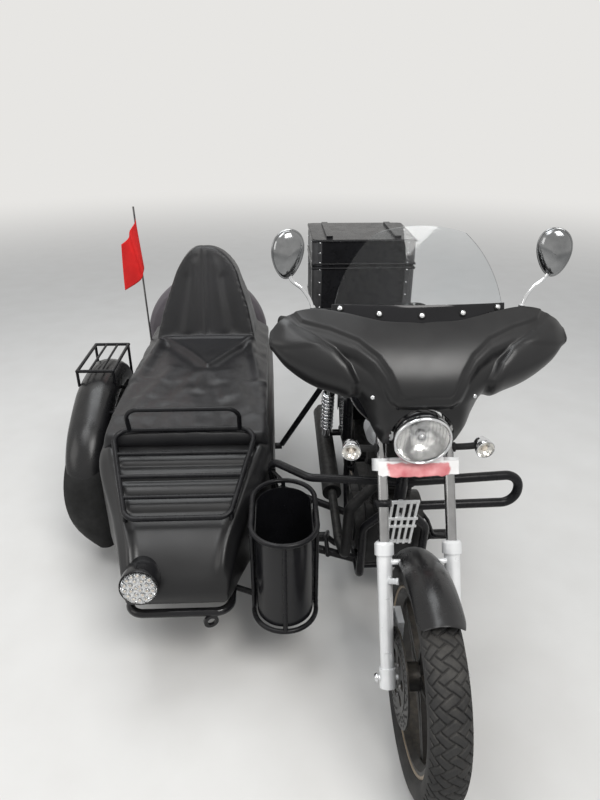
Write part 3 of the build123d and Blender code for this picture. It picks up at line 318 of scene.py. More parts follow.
WEARS = {
    "shell_black": ["fairing", "sidecar_tub", "nose_lamp"],
    "satin_black": ["main_frame", "swingarm", "chain_case", "engine_guard", "foot_controls", "rear_rack",
                    "sidecar_chassis", "sidecar_struts", "nose_rack", "mudguard_rack", "basket_cage",
                    "top_box", "top_box_lid"],
    "gloss_black": ["fuel_tank", "side_panels", "rear_mudguard", "nose_bumper"],
    "guard_black": ["sidecar_mudguard", "front_mudguard"],
    "engine_black": ["engine_case", "engine_cylinder", "exhaust"],
    "tube_chrome": ["fork_tubes"],
    "chrome": ["rear_shocks", "headlamp", "turn_signals", "mirrors"],
    "silver_paint": ["slatted_guard", "fork_sliders", "fork_yokes", "carburettor"],
    "rim_dark": ["front_rim", "rear_rim", "sidecar_rim"],
    "dark_steel": ["sidecar_suspension", "flag_pole"],
    "rubber": ["handlebar"],
    "tyre": ["front_tyre", "rear_tyre", "sidecar_tyre"],
    "bin_black": ["basket_bin", "screen_band", "gauge"],
    "leather_plain": ["tonneau_cover", "spare_wheel", "rider_seat"],
    "cloth_red": ["flag"],
    "screen_clear": ["windscreen"],
    "lens_clear": ["headlamp_lens", "nose_lamp_lens"],
    "lens_red": ["tail_lamp"],
}


def wear(mesh, material):
    mesh.materials.clear()
    mesh.materials.append(MATERIALS[material])


def dress_nodes():
    for name, members in WEARS.items():
        for member in members:
            wear(NODES[member].data, name)


# Shapes

def through(knots, values, at):
    """Smooth curves through the knots that never overshoot them, read at some places."""
    k, v, at = np.asarray(knots, float), np.asarray(values, float), np.asarray(at, float)
    h = np.diff(k)[:, None]
    d = np.diff(v, axis=0) / h
    slope = np.vstack([d[:1], np.zeros_like(d[1:]), d[-1:]])
    a, b = 2 * h[1:] + h[:-1], h[1:] + 2 * h[:-1]
    same = d[:-1] * d[1:] > 0
    safe0, safe1 = np.where(same, d[:-1], 1), np.where(same, d[1:], 1)
    slope[1:-1] = np.where(same, (a + b) / (a / safe0 + b / safe1), 0)
    i = np.clip(np.searchsorted(k, at, "right") - 1, 0, len(k) - 2)
    t = ((at - k[i]) / h[i, 0])[:, None]
    return ((1 + 2 * t) * (1 - t) ** 2 * v[i] + t * (1 - t) ** 2 * h[i] * slope[i]
            + t ** 2 * (3 - 2 * t) * v[i + 1] + t ** 2 * (t - 1) * h[i] * slope[i + 1])


def step(value, start, end):
    t = np.clip((value - start) / (end - start), 0, 1)
    return t * t * (3 - 2 * t)


def off_line(x, z, start, end):
    """How far points lie from the straight line between two points."""
    (x0, z0), (x1, z1) = start, end
    dx, dz = x1 - x0, z1 - z0
    t = np.clip(((x - x0) * dx + (z - z0) * dz) / (dx * dx + dz * dz), 0, 1)
    return np.hypot(x - x0 - t * dx, z - z0 - t * dz)


def ridge(value, at, width):
    """1 at a value, and fading smoothly to 0 within about two widths from it."""
    return np.exp(-((value - at) / width) ** 2)


def inside(x, z, outline):
    """How far points lie inside an outline, in its units, and below 0 outside it."""
    near, odd = np.full(x.shape, 1e9), np.zeros(x.shape, bool)
    for (x0, z0), (x1, z1) in zip(outline, [*outline[1:], outline[0]]):
        near = np.minimum(near, off_line(x, z, (x0, z0), (x1, z1)))
        crosses = (z0 > z) != (z1 > z)
        odd ^= crosses & (x < x0 + (z - z0) * (x1 - x0) / ((z1 - z0) or 1))
    return np.where(odd, near, -near)


def grid_faces(rows, columns, ring=False):
    """Quads between the points of a grid, whose last column may close on its first."""
    faces = []
    for r in range(rows - 1):
        for c in range(columns if ring else columns - 1):
            d = (c + 1) % columns
            faces.append((r * columns + c, r * columns + d, (r + 1) * columns + d, (r + 1) * columns + c))
    return faces


def piece(name, points, faces, material, body="frame", smooth=True):
    """A mesh of points in millimetres round the front axle, which rides on a body."""
    mesh = bpy.data.meshes.new(name)
    moved = np.asarray(points, float).reshape(-1, 3) / 1000 + SHIFT
    mesh.from_pydata(moved.tolist(), [], faces)
    mesh.polygons.foreach_set("use_smooth", [smooth] * len(mesh.polygons))
    mesh.materials.append(MATERIALS[material])
    mesh.update()
    ob = bpy.data.objects.new(name, mesh)
    SCENE.collection.objects.link(ob)
    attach(ob, body)
    return ob


def thicken(ob, thickness, bevel=0.0):
    """Gives a sheet its thickness, in millimetres, behind the surface, and rounds its rim."""
    solid = ob.modifiers.new("thickness", "SOLIDIFY")
    solid.thickness, solid.offset = thickness / 1000, -1
    if bevel:
        rim = ob.modifiers.new("rim", "BEVEL")
        rim.width, rim.segments, rim.limit_method = bevel / 1000, 2, "ANGLE"
        rim.angle_limit = math.radians(60)
    return ob


def unit(direction):
    return np.asarray(direction, float) / np.linalg.norm(direction)


def circle(at, side, up, radius, count):
    """Points round a centre, in the plane of two directions."""
    turns = np.linspace(0, 2 * math.pi, count, endpoint=False)[:, None]
    return at + radius * (np.cos(turns) * side + np.sin(turns) * up)


def turned(name, profile, at, axis, material, body="frame", count=48, smooth=True):
    """A turned piece: (radius, along) pairs in millimetres, spun round an axis through a point."""
    axis = unit(axis)
    side = unit(np.cross(axis, (0, 0, 1) if abs(axis[2]) < 0.9 else (1, 0, 0)))
    up = np.cross(axis, side)
    rows = [circle(at + axis * along, side, up, radius, count) for radius, along in profile]
    return piece(name, rows, grid_faces(len(rows), count, ring=True), material, body, smooth)


def sheet(name, rows, columns, point, material, body="frame"):
    """A sheet with its points at point(u, v), for u across it and v down it from 0 to 1."""
    points = [[point(i / (columns - 1), j / (rows - 1)) for i in range(columns)] for j in range(rows)]
    return piece(name, points, grid_faces(rows, columns), material, body)


def joined(name, obs):
    """Several pieces of one material as one mesh, on the body that they ride on."""
    mesh = bmesh.new()
    for ob in obs:
        mesh.from_mesh(ob.data)
    keep = obs[0]
    keep.name = name
    mesh.to_mesh(keep.data)
    mesh.free()
    for ob in obs[1:]:
        bpy.data.objects.remove(ob)
    return keep


def bar(name, points, radius, material, body="frame", sides=10):
    """A round bar or cable along points in millimetres, with smooth bends."""
    points = np.asarray(points, float)
    if len(points) > 2:
        run = np.concatenate([[0], np.cumsum(np.linalg.norm(np.diff(points, axis=0), axis=1))])
        points = through(run, points, np.linspace(0, run[-1], 8 * len(points)))
    way = np.gradient(points, axis=0)
    side = np.cross(way[0], (0.3, 0.2, 0.93))
    rows = []
    for at, along in zip(points, map(unit, way)):
        side = unit(side - along * side.dot(along))
        rows.append(circle(at, side, np.cross(along, side), radius, sides))
    faces = grid_faces(len(rows), sides, ring=True)
    faces += [tuple(range(sides))[::-1], tuple((len(rows) - 1) * sides + i for i in range(sides))]
    return piece(name, rows, faces, material, body)


DOME = [(1.0, 0.0), (1.0, 0.25), (0.82, 0.5), (0.5, 0.66), (0.0, 0.72)]


def screws(name, places, radius, material, body="frame", count=12):
    """Domed screw heads: (point, axis) pairs."""
    heads = [turned(name, [(r * radius, h * radius) for r, h in DOME], at, axis, material, body, count)
             for at, axis in places]
    joined(name, heads)


# Fairing

# x, then the top, brow and lower edge as (y, z), as in the part's source
FAIRING = [
    (0, (386, 1194), (250, 1045), (296, 868)),
    (95, (389, 1198), (254, 1050), (300, 880)),
    (150, (400, 1206), (276, 1080), (322, 962)),
    (200, (414, 1214), (296, 1098), (344, 1008)),
    (280, (430, 1222), (326, 1112), (372, 1030)),
    (356, (432, 1206), (364, 1132), (394, 1078)),
    (393, (420, 1166), (396, 1146), (404, 1124)),
]
# Outlines of the raised middle panel, the pods and the crest over them, as (x, z) of the right half
PANEL = [(-200, 1041), (58, 1041), (70, 1049), (96, 1102), (122, 1134), (172, 1165), (244, 1185), (318, 1197),
         (336, 1212), (336, 1300), (-200, 1300)]
POD = [(460, 1206), (352, 1192), (286, 1168), (236, 1146), (204, 1114), (186, 1072), (186, 1030), (194, 985),
       (460, 985)]
CREST = [(250, 1160), (320, 1150), (372, 1142), (420, 1130), (420, 1300), (250, 1300)]
# How the shell's two ends close: steps outwards, and how much of the last row is left at each
END_CAP = [(2.6, 0.92), (4.8, 0.74), (6.4, 0.45), (7.4, 0.12)]
FAIRING_GRID = (229, 104)
SCREWS = (148, 268, 1024)
LAMP_HOLE = (0, 918, 87)


def fairing_points():
    """Rows of points down the shell, from its left tip to its right one."""
    across, down = FAIRING_GRID
    tip = FAIRING[-1][0]
    xs = np.linspace(-tip, tip, across)
    rows = through([r[0] for r in FAIRING], [[*r[1], *r[2], *r[3]] for r in FAIRING], np.abs(xs))
    t = np.linspace(0, 1, down)[None, :, None]
    top, brow, low = (rows[:, None, i:i + 2] for i in (0, 2, 4))
    yz = (1 - t) ** 2 * top + 2 * t * (1 - t) * (2 * brow - (top + low) / 2) + t ** 2 * low
    points = np.concatenate([np.broadcast_to(xs[:, None, None], (across, down, 1)), yz], axis=2)
    normal = np.cross(np.gradient(points, axis=0), np.gradient(points, axis=1))
    normal /= np.linalg.norm(normal, axis=2)[:, :, None]
    normal *= -np.sign(normal[:, :, 1:2] + 1e-9)
    x, z = np.abs(points[:, :, 0]), points[:, :, 2]
    in_panel, in_pod, in_crest = (inside(x, z, outline) for outline in (PANEL, POD, CREST))
    pod = step(in_pod, -4, 20)
    valley = step(-in_panel, 15, 42) * (1 - step(in_pod, -12, 2))
    valley *= step(z, 930, 1010) * (1 - step(z, 1128, 1188))
    rise = 7 * step(in_panel, -3, 6) + 1.5 * step(in_panel, -12, -4) * (1 - step(in_panel, 0, 5))
    rise += 8 * pod + 3 * step(in_pod, -8, 2) * (1 - step(in_pod, 4, 20)) - 17 * valley
    rise += 2.5 * step(in_crest, -10, 3) * (1 - step(in_crest, 3, 30)) * pod
    points += normal * rise[:, :, None]
    left, right = ([row.mean(axis=0) * (1 - shrink) + row * shrink + (side * push, 0, 0)
                    for push, shrink in END_CAP] for side, row in ((-1, points[0]), (1, points[-1])))
    return np.array([*left[::-1], *points, *right])


def make_fairing():
    """The shell as one smooth sheet: raised middle panel, swollen pods, rolled edges and the lamp's hole."""
    points = fairing_points()
    cx, cz, hole = LAMP_HOLE
    flat = points.reshape(-1, 3)
    off = np.hypot(flat[:, 0] - cx, flat[:, 2] - cz)
    within = (off < hole) & (flat[:, 2] > 820)
    faces = [f for f in grid_faces(*points.shape[:2]) if not all(within[i] for i in f)]
    flat[within, 0] = cx + (flat[within, 0] - cx) / off[within] * hole
    flat[within, 2] = cz + (flat[within, 2] - cz) / off[within] * hole
    shell = piece("fairing_shell", flat, faces, "shell_black", STEER)
    clean = bmesh.new()
    clean.from_mesh(shell.data)
    bmesh.ops.delete(clean, geom=[v for v in clean.verts if not v.link_faces], context="VERTS")
    bmesh.ops.recalc_face_normals(clean, faces=clean.faces)
    if sum(f.normal.y * f.calc_area() for f in clean.faces) > 0:
        bmesh.ops.reverse_faces(clean, faces=clean.faces)
    clean.to_mesh(shell.data)
    clean.free()
    thicken(shell, 5, 1.6)
    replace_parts(shell, "fairing")
    stays = [bar("stay", [(side * 70, 262, 1010), (side * 95, 400, 985)], 7, "satin_black", STEER)
             for side in SIDES]
    joined("fairing_stays", stays)
    x, y, z = SCREWS
    places = [(flat[np.linalg.norm(flat - (side * x, y, z), axis=1).argmin()], (side * 0.4, -1, 0.1))
              for side in SIDES]
    screws("fairing_screws", places, 6.5, "chrome", STEER)


# Tub

TUB_X = -710
# Distance back, then half the width, floor, top and the corners' radius
TUB = [
    (284, 158, 318, 352, 15),
    (298, 165, 309, 386, 22),
    (322, 173, 301, 418, 26),
    (356, 183, 295, 452, 32),
    (400, 196, 290, 484, 36),
    (470, 220, 285, 522, 40),
    (715, 306, 280, 640, 44),
    (1000, 308, 280, 660, 44),
    (1600, 300, 282, 668, 44),
    (1790, 280, 292, 652, 50),
    (1890, 250, 316, 610, 56),
]
# The side ridges of the nose, as distance back and out, the ribs between them and the cockpit's opening
RIDGE = [(300, 138), (372, 150), (452, 178), (712, 264)]
RIBS = (500, 548, 596, 644)
COCKPIT = (770, 1590, 240)


def tub_section(half, low, high, corner, counts=(36, 12, 20, 12), bend=9):
    """Points round one section, clockwise from its top left, with counts along its four straights."""
    left, right, foot, head = corner - half, half - corner, low + corner, high - corner
    centres = np.array([(left, head), (right, head), (right, foot), (left, foot), (left, head)])
    points = []
    for k, count in enumerate(counts):
        turn = np.radians(90 - 90 * k - np.linspace(0, 90, bend)[:-1])
        quarter = corner * np.stack([np.cos(turn), np.sin(turn)], axis=1)
        points += [*np.linspace(centres[k] + quarter[0], centres[k + 1] + quarter[0], count)[:-1],
                   *(centres[k + 1] + quarter)]
    return points


def make_tub():
    """The tub as one smooth skin, with side ridges and cross ribs moulded into its nose."""
    fine = np.concatenate([np.linspace(284, 720, 150), np.linspace(730, 1890, 70)])
    rows = through([r[0] for r in TUB], [r[1:] for r in TUB], fine)
    points = np.array([[(x, y, z) for x, z in tub_section(*row)] for y, row in zip(fine, rows)])
    count = points.shape[1]
    x, y, high = np.abs(points[:, :, 0]), points[:, :, 1], rows[:, 2][:, None]
    up = step(points[:, :, 2], high - rows[:, 3][:, None] * 1.1, high - 4)
    crown = through([r[0] for r in RIDGE], [[r[1]] for r in RIDGE], np.clip(fine, 300, 712))
    fade = step(fine, 292, 330) * (1 - step(fine, 690, 722))
    pitch, first, last = RIBS[1] - RIBS[0], RIBS[0], RIBS[-1]
    rib = 8 * np.abs(np.cos(math.pi * (y - first) / pitch)) ** 0.7 * (np.abs(y - (first + last) / 2)
                                                                      < (last - first + pitch) / 2)
    rib *= 1 - step(x, crown - 22, crown - 2)
    rise = np.maximum(13 * ridge(x, crown, 15) * fade[:, None], rib) * up
    points += rise[:, :, None] * (0, -0.45, 1) + (TUB_X, 0, 0)
    faces = grid_faces(len(points), count, ring=True)
    front, back, half = COCKPIT
    flat = points.reshape(-1, 3)
    around = flat[np.array(faces)]
    centre, level = around.mean(axis=1), np.ptp(around[:, :, 2], axis=1)
    opened = ((centre[:, 1] > front) & (centre[:, 1] < back) & (np.abs(centre[:, 0] - TUB_X) < half)
              & (centre[:, 2] > 600) & (level < 8))
    faces = [f for f, gone in zip(faces, opened) if not gone]
    faces += [tuple(range(count))[::-1], tuple((len(points) - 1) * count + i for i in range(count))]
    tub = piece("tub_skin", flat, faces, "shell_black")
    thicken(tub, 6, 3.0)
    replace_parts(tub, "sidecar_tub")


# Soft goods

def points_of(mesh):
    """A mesh's points, in millimetres round the front axle."""
    flat = np.empty(len(mesh.vertices) * 3)
    mesh.vertices.foreach_get("co", flat)
    return (flat.reshape(-1, 3) - SHIFT) * 1000


def evaluated(ob):
    return bpy.data.meshes.new_from_object(ob.evaluated_get(bpy.context.evaluated_depsgraph_get()))


def grown(name, node, voxel, soften, form, material, body="frame"):
    """A CAD node's shape as one even mesh, softened, and then formed by a function of its points."""
    ob = bpy.data.objects.new(name, NODES[node].data.copy())
    SCENE.collection.objects.link(ob)
    remesh = ob.modifiers.new("even", "REMESH")
    remesh.mode, remesh.voxel_size = "VOXEL", voxel / 1000
    smooth = ob.modifiers.new("soft", "SMOOTH")
    smooth.iterations, smooth.factor = soften, 0.5
    ob.data = evaluated(ob)
    ob.modifiers.clear()
    write_points(ob.data, form(points_of(ob.data)))
    wear(ob.data, material)
    ob.data.polygons.foreach_set("use_smooth", [True] * len(ob.data.polygons))
    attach(ob, body)
    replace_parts(ob, node)
    return ob


def write_points(mesh, points):
    """Puts points in millimetres round the front axle into a mesh."""
    mesh.vertices.foreach_set("co", (points / 1000 + SHIFT).ravel())
    mesh.update()


def spread(moved, mesh, times):
    """Movements averaged with those of the points beside them, so that only broad folds stay."""
    ends = np.empty(len(mesh.edges) * 2, int)
    mesh.edges.foreach_get("vertices", ends)
    a, b = ends.reshape(-1, 2).T
    count = np.bincount(ends, minlength=len(moved))[:, None]
    for _ in range(times):
        near = np.zeros_like(moved)
        np.add.at(near, a, moved[b])
        np.add.at(near, b, moved[a])
        moved = 0.4 * moved + 0.6 * near / count
    return moved


def wrinkled(ob, held, pressure, swell, cap, frames, broad=0):
    """Lets a skin settle as cloth a little too large for it.

    held is how firmly each point stays, from 0 to 1, and cap the furthest that a point moves, in millimetres.
    """
    rest = points_of(ob.data)
    group = ob.vertex_groups.new(name="held")
    firm = np.round(np.clip(held(rest), 0, 1), 1)
    for value in np.unique(firm):
        if value > 0:
            group.add(np.flatnonzero(firm == value).tolist(), float(value), "REPLACE")
    cloth = ob.modifiers.new("cloth", "CLOTH")
    settings = cloth.settings
    settings.quality, settings.mass, settings.air_damping = 5, 0.25, 2.0
    settings.tension_stiffness = settings.compression_stiffness = settings.shear_stiffness = 30
    settings.bending_stiffness = 20
    settings.vertex_group_mass = "held"
    settings.use_pressure, settings.uniform_pressure_force = True, pressure
    settings.shrink_min = -swell
    settings.effector_weights.gravity = 0
    cloth.collision_settings.use_collision = False
    cloth.point_cache.frame_start, cloth.point_cache.frame_end = 1, frames
    for frame_number in range(1, frames + 1):
        SCENE.frame_set(frame_number)
    settled = evaluated(ob)
    moved = spread(points_of(settled) - rest, ob.data, broad)
    far = np.linalg.norm(moved, axis=1)[:, None]
    ob.modifiers.clear()
    ob.vertex_groups.clear()
    write_points(ob.data, rest + moved * np.minimum(1, cap / np.maximum(far, 1e-6)))
    bpy.data.meshes.remove(settled)
    SCENE.frame_set(1)


def rounder(ob):
    smooth = ob.modifiers.new("rounder", "SUBSURF")
    smooth.levels = smooth.render_levels = 1


def crease(x, y, start, end, width):
    """1 on a line between two points, fading to 0 away from it."""
    return ridge(off_line(x, y, start, end), 0, width)


SEAM = 727
# Folds of the cover's deck, from above round the sidecar's middle: start, end, width and rise
DECK_FOLDS = [
    ((-168, 1420), (12, 1172), 24, -6),
    ((200, 1420), (56, 1172), 24, -6),
    ((32, 1185), (16, 1000), 20, 7),
    ((62, 1160), (120, 950), 24, 6),
    ((2, 1160), (-86, 930), 26, 6),
    ((-205, 1440), (-262, 1120), 24, 11),
    ((200, 1440), (268, 1080), 24, 10),
    ((-168, 1400), (-196, 1140), 22, -7),
    ((176, 1390), (214, 1100), 22, -6),
    ((-110, 1180), (-226, 830), 30, 8),
    ((120, 1150), (226, 830), 30, 8),
    ((-60, 1060), (-128, 770), 26, -6),
    ((84, 1040), (130, 770), 26, -6),
    ((-20, 1000), (30, 760), 34, 5),
    ((-262, 1060), (-286, 760), 26, 7),
    ((262, 1060), (288, 760), 26, 7),
]
# The point of the backrest's panel, laid over the deck
POINT = [(-190, 1470), (-150, 1426), (-60, 1318), (8, 1216), (33, 1184), (56, 1216), (120, 1318), (186, 1426),
         (230, 1470)]
# Folds of the backrest, from the front: (x, z) to (x, z), width and depth
BACK_FOLDS = [
    ((0, 1130), (0, 735), 7, 5),
    ((-16, 1110), (-20, 760), 14, -4),
    ((16, 1110), (20, 760), 14, -4),
    ((-58, 1060), (-84, 780), 24, 4),
    ((56, 1060), (84, 780), 24, 4),
    ((-96, 1000), (-134, 770), 24, -4),
    ((94, 1000), (130, 770), 24, -4),
]
# How much narrower the backrest gets on each side, by height
BACK_TAPER = [(760, 0, 0), (870, 0.09, 0.04), (970, 0.18, 0.08), (1065, 0.29, 0.10), (1134, 0.36, 0.10)]


def cover_form(p):
    """The tonneau cover: a deck with hanging folds, a hooded backrest, and the seam between them."""
    x, y, z = p[:, 0] - TUB_X, p[:, 1], p[:, 2]
    moved = p.copy()
    heights, *taper = zip(*BACK_TAPER)
    left, right = (np.interp(z, heights, part) for part in taper)
    moved[:, 0] -= x * np.where(x < 0, left, right)
    on_deck = step(z, 668, 684) * (1 - step(z, 742, 775))
    point = inside(x, y, POINT)
    rise = 5 - 8 * (x / 300) ** 2
    rise += 7 * step(point, -5, 7) + 4 * step(point, -5, 4) * (1 - step(point, 6, 24))
    for start, end, width, height in DECK_FOLDS:
        rise += height * crease(x, y, start, end, width)
    moved[:, 2] += on_deck * rise
    face = step(z, 733, 790) * step(1690 - y, 0, 60)
    for start, end, width, depth in BACK_FOLDS:
        moved[:, 1] -= face * depth * crease(x, z, start, end, width)
    moved[:, 1] -= 5 * ridge(z, SEAM, 5) * (y > 1380) * (np.abs(x) < 236)
    tub_top = np.interp(y, (715, 1000, 1600, 1790), (640, 660, 668, 652))
    low = 1 - step(z, 668, 682)
    side = step(np.abs(x), 248, 272)
    moved[:, 2] += low * (tub_top - 5 - 15 * side - z)
    moved[:, 0] += np.sign(x) * side * (26 * low + 10 * (1 - low) * (1 - step(z, 690, 745)))
    moved[:, 1] -= (1 - step(y, 704, 716)) * (6 + 5 * low)
    return moved


def cover_held(p):
    """How firmly the cover is held: most at its hem, sides and seams, and less elsewhere."""
    x, y, z = np.abs(p[:, 0] - TUB_X), p[:, 1], p[:, 2]
    return np.maximum.reduce([
        1 - step(z, 655, 668),
        step(x, 286, 296),
        0.6 * step(720 - y, 0, 14),
        0.9 * ridge(z, SEAM, 7) * (y > 1380),
        0.8 * ridge(x, 0, 6) * (z > 735) * (y < 1700),
        0.7 * step(z, 745, 790),
        0.3 + 0.4 * (y > 1150) * (x < 160) * (z < 770),
    ])


def make_cover():
    cover = grown("sidecar_cover", "tonneau_cover", 9, 5, cover_form, "leather")
    wrinkled(cover, cover_held, pressure=1.2, swell=0.045, cap=16, frames=14, broad=14)
    rounder(cover)


SEAT_STEP = 1236
# Depth of the seat's cross seams, and where they run
SEAT_SEAMS = [(3.5, (1330, 1390, 1450, 1510)), (3, (1050, 1100, 1150))]


def seat_form(p):
    """The rider's seat: a groove at its step, stitched cross seams and a seam above its skirt."""
    x, y, z = p.T
    moved = p.copy()
    top = step(z, 738, 770)
    moved[:, 2] -= 6 * ridge(y, SEAT_STEP, 6) * top
    for depth, places in SEAT_SEAMS:
        for at in places:
            moved[:, 2] -= depth * ridge(y, at, 5) * top * (np.abs(x) < 100)
    moved[:, 0] -= np.sign(x) * 3 * ridge(z, 746, 4) * step(np.abs(x), 84, 96)
    return moved


def seat_held(p):
    return np.maximum(p[:, 2] < 728, 0.85 * ridge(p[:, 1], SEAT_STEP, 6))


def make_rider_seat():
    seat = grown("saddle", "rider_seat", 7.5, 6, seat_form, "leather")
    wrinkled(seat, seat_held, pressure=3.0, swell=0.012, cap=8, frames=10)
    rounder(seat)


SPARE = (TUB_X - 20, 1966, 600)
SPARE_MOVE = (-26, 0, -14)
SPARE_LEAN = 0.14


def spare_form(p):
    """The spare wheel's cover: a flat face with a piped edge, gathered behind by its hem."""
    x, y, z = (p - SPARE).T
    turn, off = np.arctan2(z, x), np.hypot(x, z)
    behind = y - SPARE_LEAN * z
    moved = p.copy()
    moved[:, 1] += step(off, 120, 230) * step(behind, 20, 46) * 4 * np.sin(turn * 26) * step(off, 150, 260)
    moved[:, 1] -= 3 * ridge(off, 284, 5) * (behind < 0)
    return moved + SPARE_MOVE


def spare_held(p):
    return np.hypot(p[:, 0] - SPARE[0], p[:, 2] - SPARE[2]) < 60


def make_spare_cover():
    cover = grown("spare_cover", "spare_wheel", 9, 5, spare_form, "cover_grey")
    wrinkled(cover, spare_held, pressure=1.5, swell=0.02, cap=9, frames=12)
    rounder(cover)


# Flag

POLE_TOP, POLE_FOOT = np.array((-1004.0, 1625.0, 1300.0)), np.array((-987.0, 1600.0, 660.0))


def make_flag():
    """A small flag that hangs limp from the top of its pole."""
    across, down = 48, 34
    u, v = np.meshgrid(np.linspace(0, 1, across), np.linspace(0, 1, down))
    pole = POLE_TOP + (POLE_FOOT - POLE_TOP) * ((46 + 200 * v) / 640)[..., None]
    fold = np.sin(9.5 * u + 1.1 * v) * (0.25 + 0.75 * u)
    x = 4 + 34 * np.sin(3.1 * u) * (0.3 + 0.7 * v) - 62 * u ** 1.3 + 12 * fold * u
    y = -5 - 52 * u + 18 * fold
    points = pole + np.stack([x, y, -104 * u ** 1.25], axis=-1)
    flag = piece("flag_cloth", points, grid_faces(down, across), "cloth_red")
    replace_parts(flag, "flag")
    thicken(flag, 0.8)


# Tyres and wheels

AXLE_HEIGHT = 312
# Tyre radius, width, rim radius, axle point, body and the steps round and across of each mesh
WHEELS = {
    "front": (312, 104, 240, (0, 0, AXLE_HEIGHT), "front_wheel", 1080, 90),
    "rear": (303, 114, 214, (0, 1370, 303), "rear_wheel", 460, 54),
    "sidecar": (290, 104, 208, (-1135, 1170, 290), "sidecar_wheel", 460, 54),
}
TREAD_PITCH = 55
GROOVE_DEPTH = 5.5


def tread_depth(along, across):
    """How deep the tread is cut, from 0 to 1: a herringbone of long blocks that runs round the tyre."""
    wide = TREAD_PITCH / (2 * math.sqrt(2))
    a, b = (along + across) / math.sqrt(2) / wide, (across - along) / math.sqrt(2) / wide
    kind = (np.floor(a) - np.floor(b)) % 4
    fa, fb = a % 1, b % 1
    edges = ((fa, kind != 1), (1 - fa, kind != 0), (fb, kind != 2), (1 - fb, kind != 3))
    near = np.minimum.reduce([np.where(shut, side, 9) for side, shut in edges])
    return 1 - step(near * wide, 0.9, 2.7)


def make_tyre(name, radius, width, rim_radius, axle, body, around, across):
    """A tyre with its tread cut in, raised rings on its side walls and a bead on the rim."""
    half, middle, rise = width / 2, (radius + rim_radius) / 2, (radius - rim_radius) / 2
    turn = np.linspace(0, 2 * math.pi, around, endpoint=False)[:, None]
    places = [0, across * 0.14, across * 0.86, across - 1]
    phi = through(places, [[-2.42], [-1.32], [1.32], [2.42]], np.arange(across))[:, 0]
    x = half * np.sign(np.sin(phi)) * np.abs(np.sin(phi)) ** 0.86
    r = np.maximum(middle + rise * np.cos(phi) * np.where(np.abs(phi) < math.pi / 2, 1, 1.28), rim_radius - 1)
    wall = step(np.abs(phi), 1.25, 1.4) * (1 - step(np.abs(phi), 2.15, 2.3))
    x += np.sign(x) * 1.6 * wall * (ridge(r, rim_radius + 14, 2.2) + ridge(r, radius - 26, 1.8))
    along = turn / (2 * math.pi) * round(2 * math.pi * radius / TREAD_PITCH) * TREAD_PITCH
    crown = 1 - step(np.abs(phi), 1.16, 1.28)
    arc = np.sign(phi) * np.minimum(np.abs(phi), 1.3) * (half + rise) / 2
    out = r - GROOVE_DEPTH * tread_depth(along, arc + 300) * crown
    points = np.stack([x + 0 * out, out * np.sin(turn), out * np.cos(turn)], axis=-1) + axle
    wrap = around * across
    faces = [tuple(i % wrap for i in f) for f in grid_faces(around + 1, across)]
    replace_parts(piece(f"{name}_tyre_tread", points, faces, "tyre", body), f"{name}_tyre")


def make_wheel_trim():
    """Brighter edges on the rims, brake disc holes as flat dark caps of painted shade, disc bolts and axle
    nuts.
    """
    for name, (_, width, rim_radius, axle, body, *_) in WHEELS.items():
        edge = width * 0.33 - 1
        rings = [turned("rim_edge", [(rim_radius + 2, side * edge), (rim_radius + 1, side * (edge + 3.2)),
                                     (rim_radius - 5, side * (edge + 3.6)), (rim_radius - 8, side * edge)],
                        axle, (1, 0, 0), "rim_bronze", body, 96) for side in SIDES]
        joined(f"{name}_rim_edges", rings)
    wheel, hub = "front_wheel", WHEELS["front"][3]
    # The holes are shallow caps on the disc, not cut through; their dark colour is painted shade
    pit, holes = [(3.6, 0), (3.4, 0.5), (0, 0.45)], []
    for ring, shift in ((100, 0.0), (110, 0.5), (120, 0.0)):
        for t in (np.arange(24) + shift) * 2 * math.pi / 24:
            at = hub + np.array((-67.2, ring * math.sin(t), ring * math.cos(t)))
            holes.append(turned("hole", pit, at, (-1, 0, 0), "hole_painted_shade", wheel, 10))
    joined("brake_disc_holes", holes)
    bolts = circle(hub + np.array((-69, 0, 0)), np.array((0, 0, 1)), np.array((0, 1, 0)), 44, 5)
    screws("disc_bolts", [(at, (-1, 0, 0)) for at in bolts], 7, "dark_steel", wheel, 6)
    nuts = [((side * 124, 0, AXLE_HEIGHT), (side, 0, 0)) for side in SIDES]
    screws("axle_nuts", nuts, 13, "chrome", STEER, 6)


# Lamps

LAMP_AT, LAMP_NOD = np.array((0.0, 262, 918)), math.radians(8)
LAMP_OUT = np.array((0, -math.cos(LAMP_NOD), -math.sin(LAMP_NOD)))
ACROSS = np.array((1.0, 0, 0))


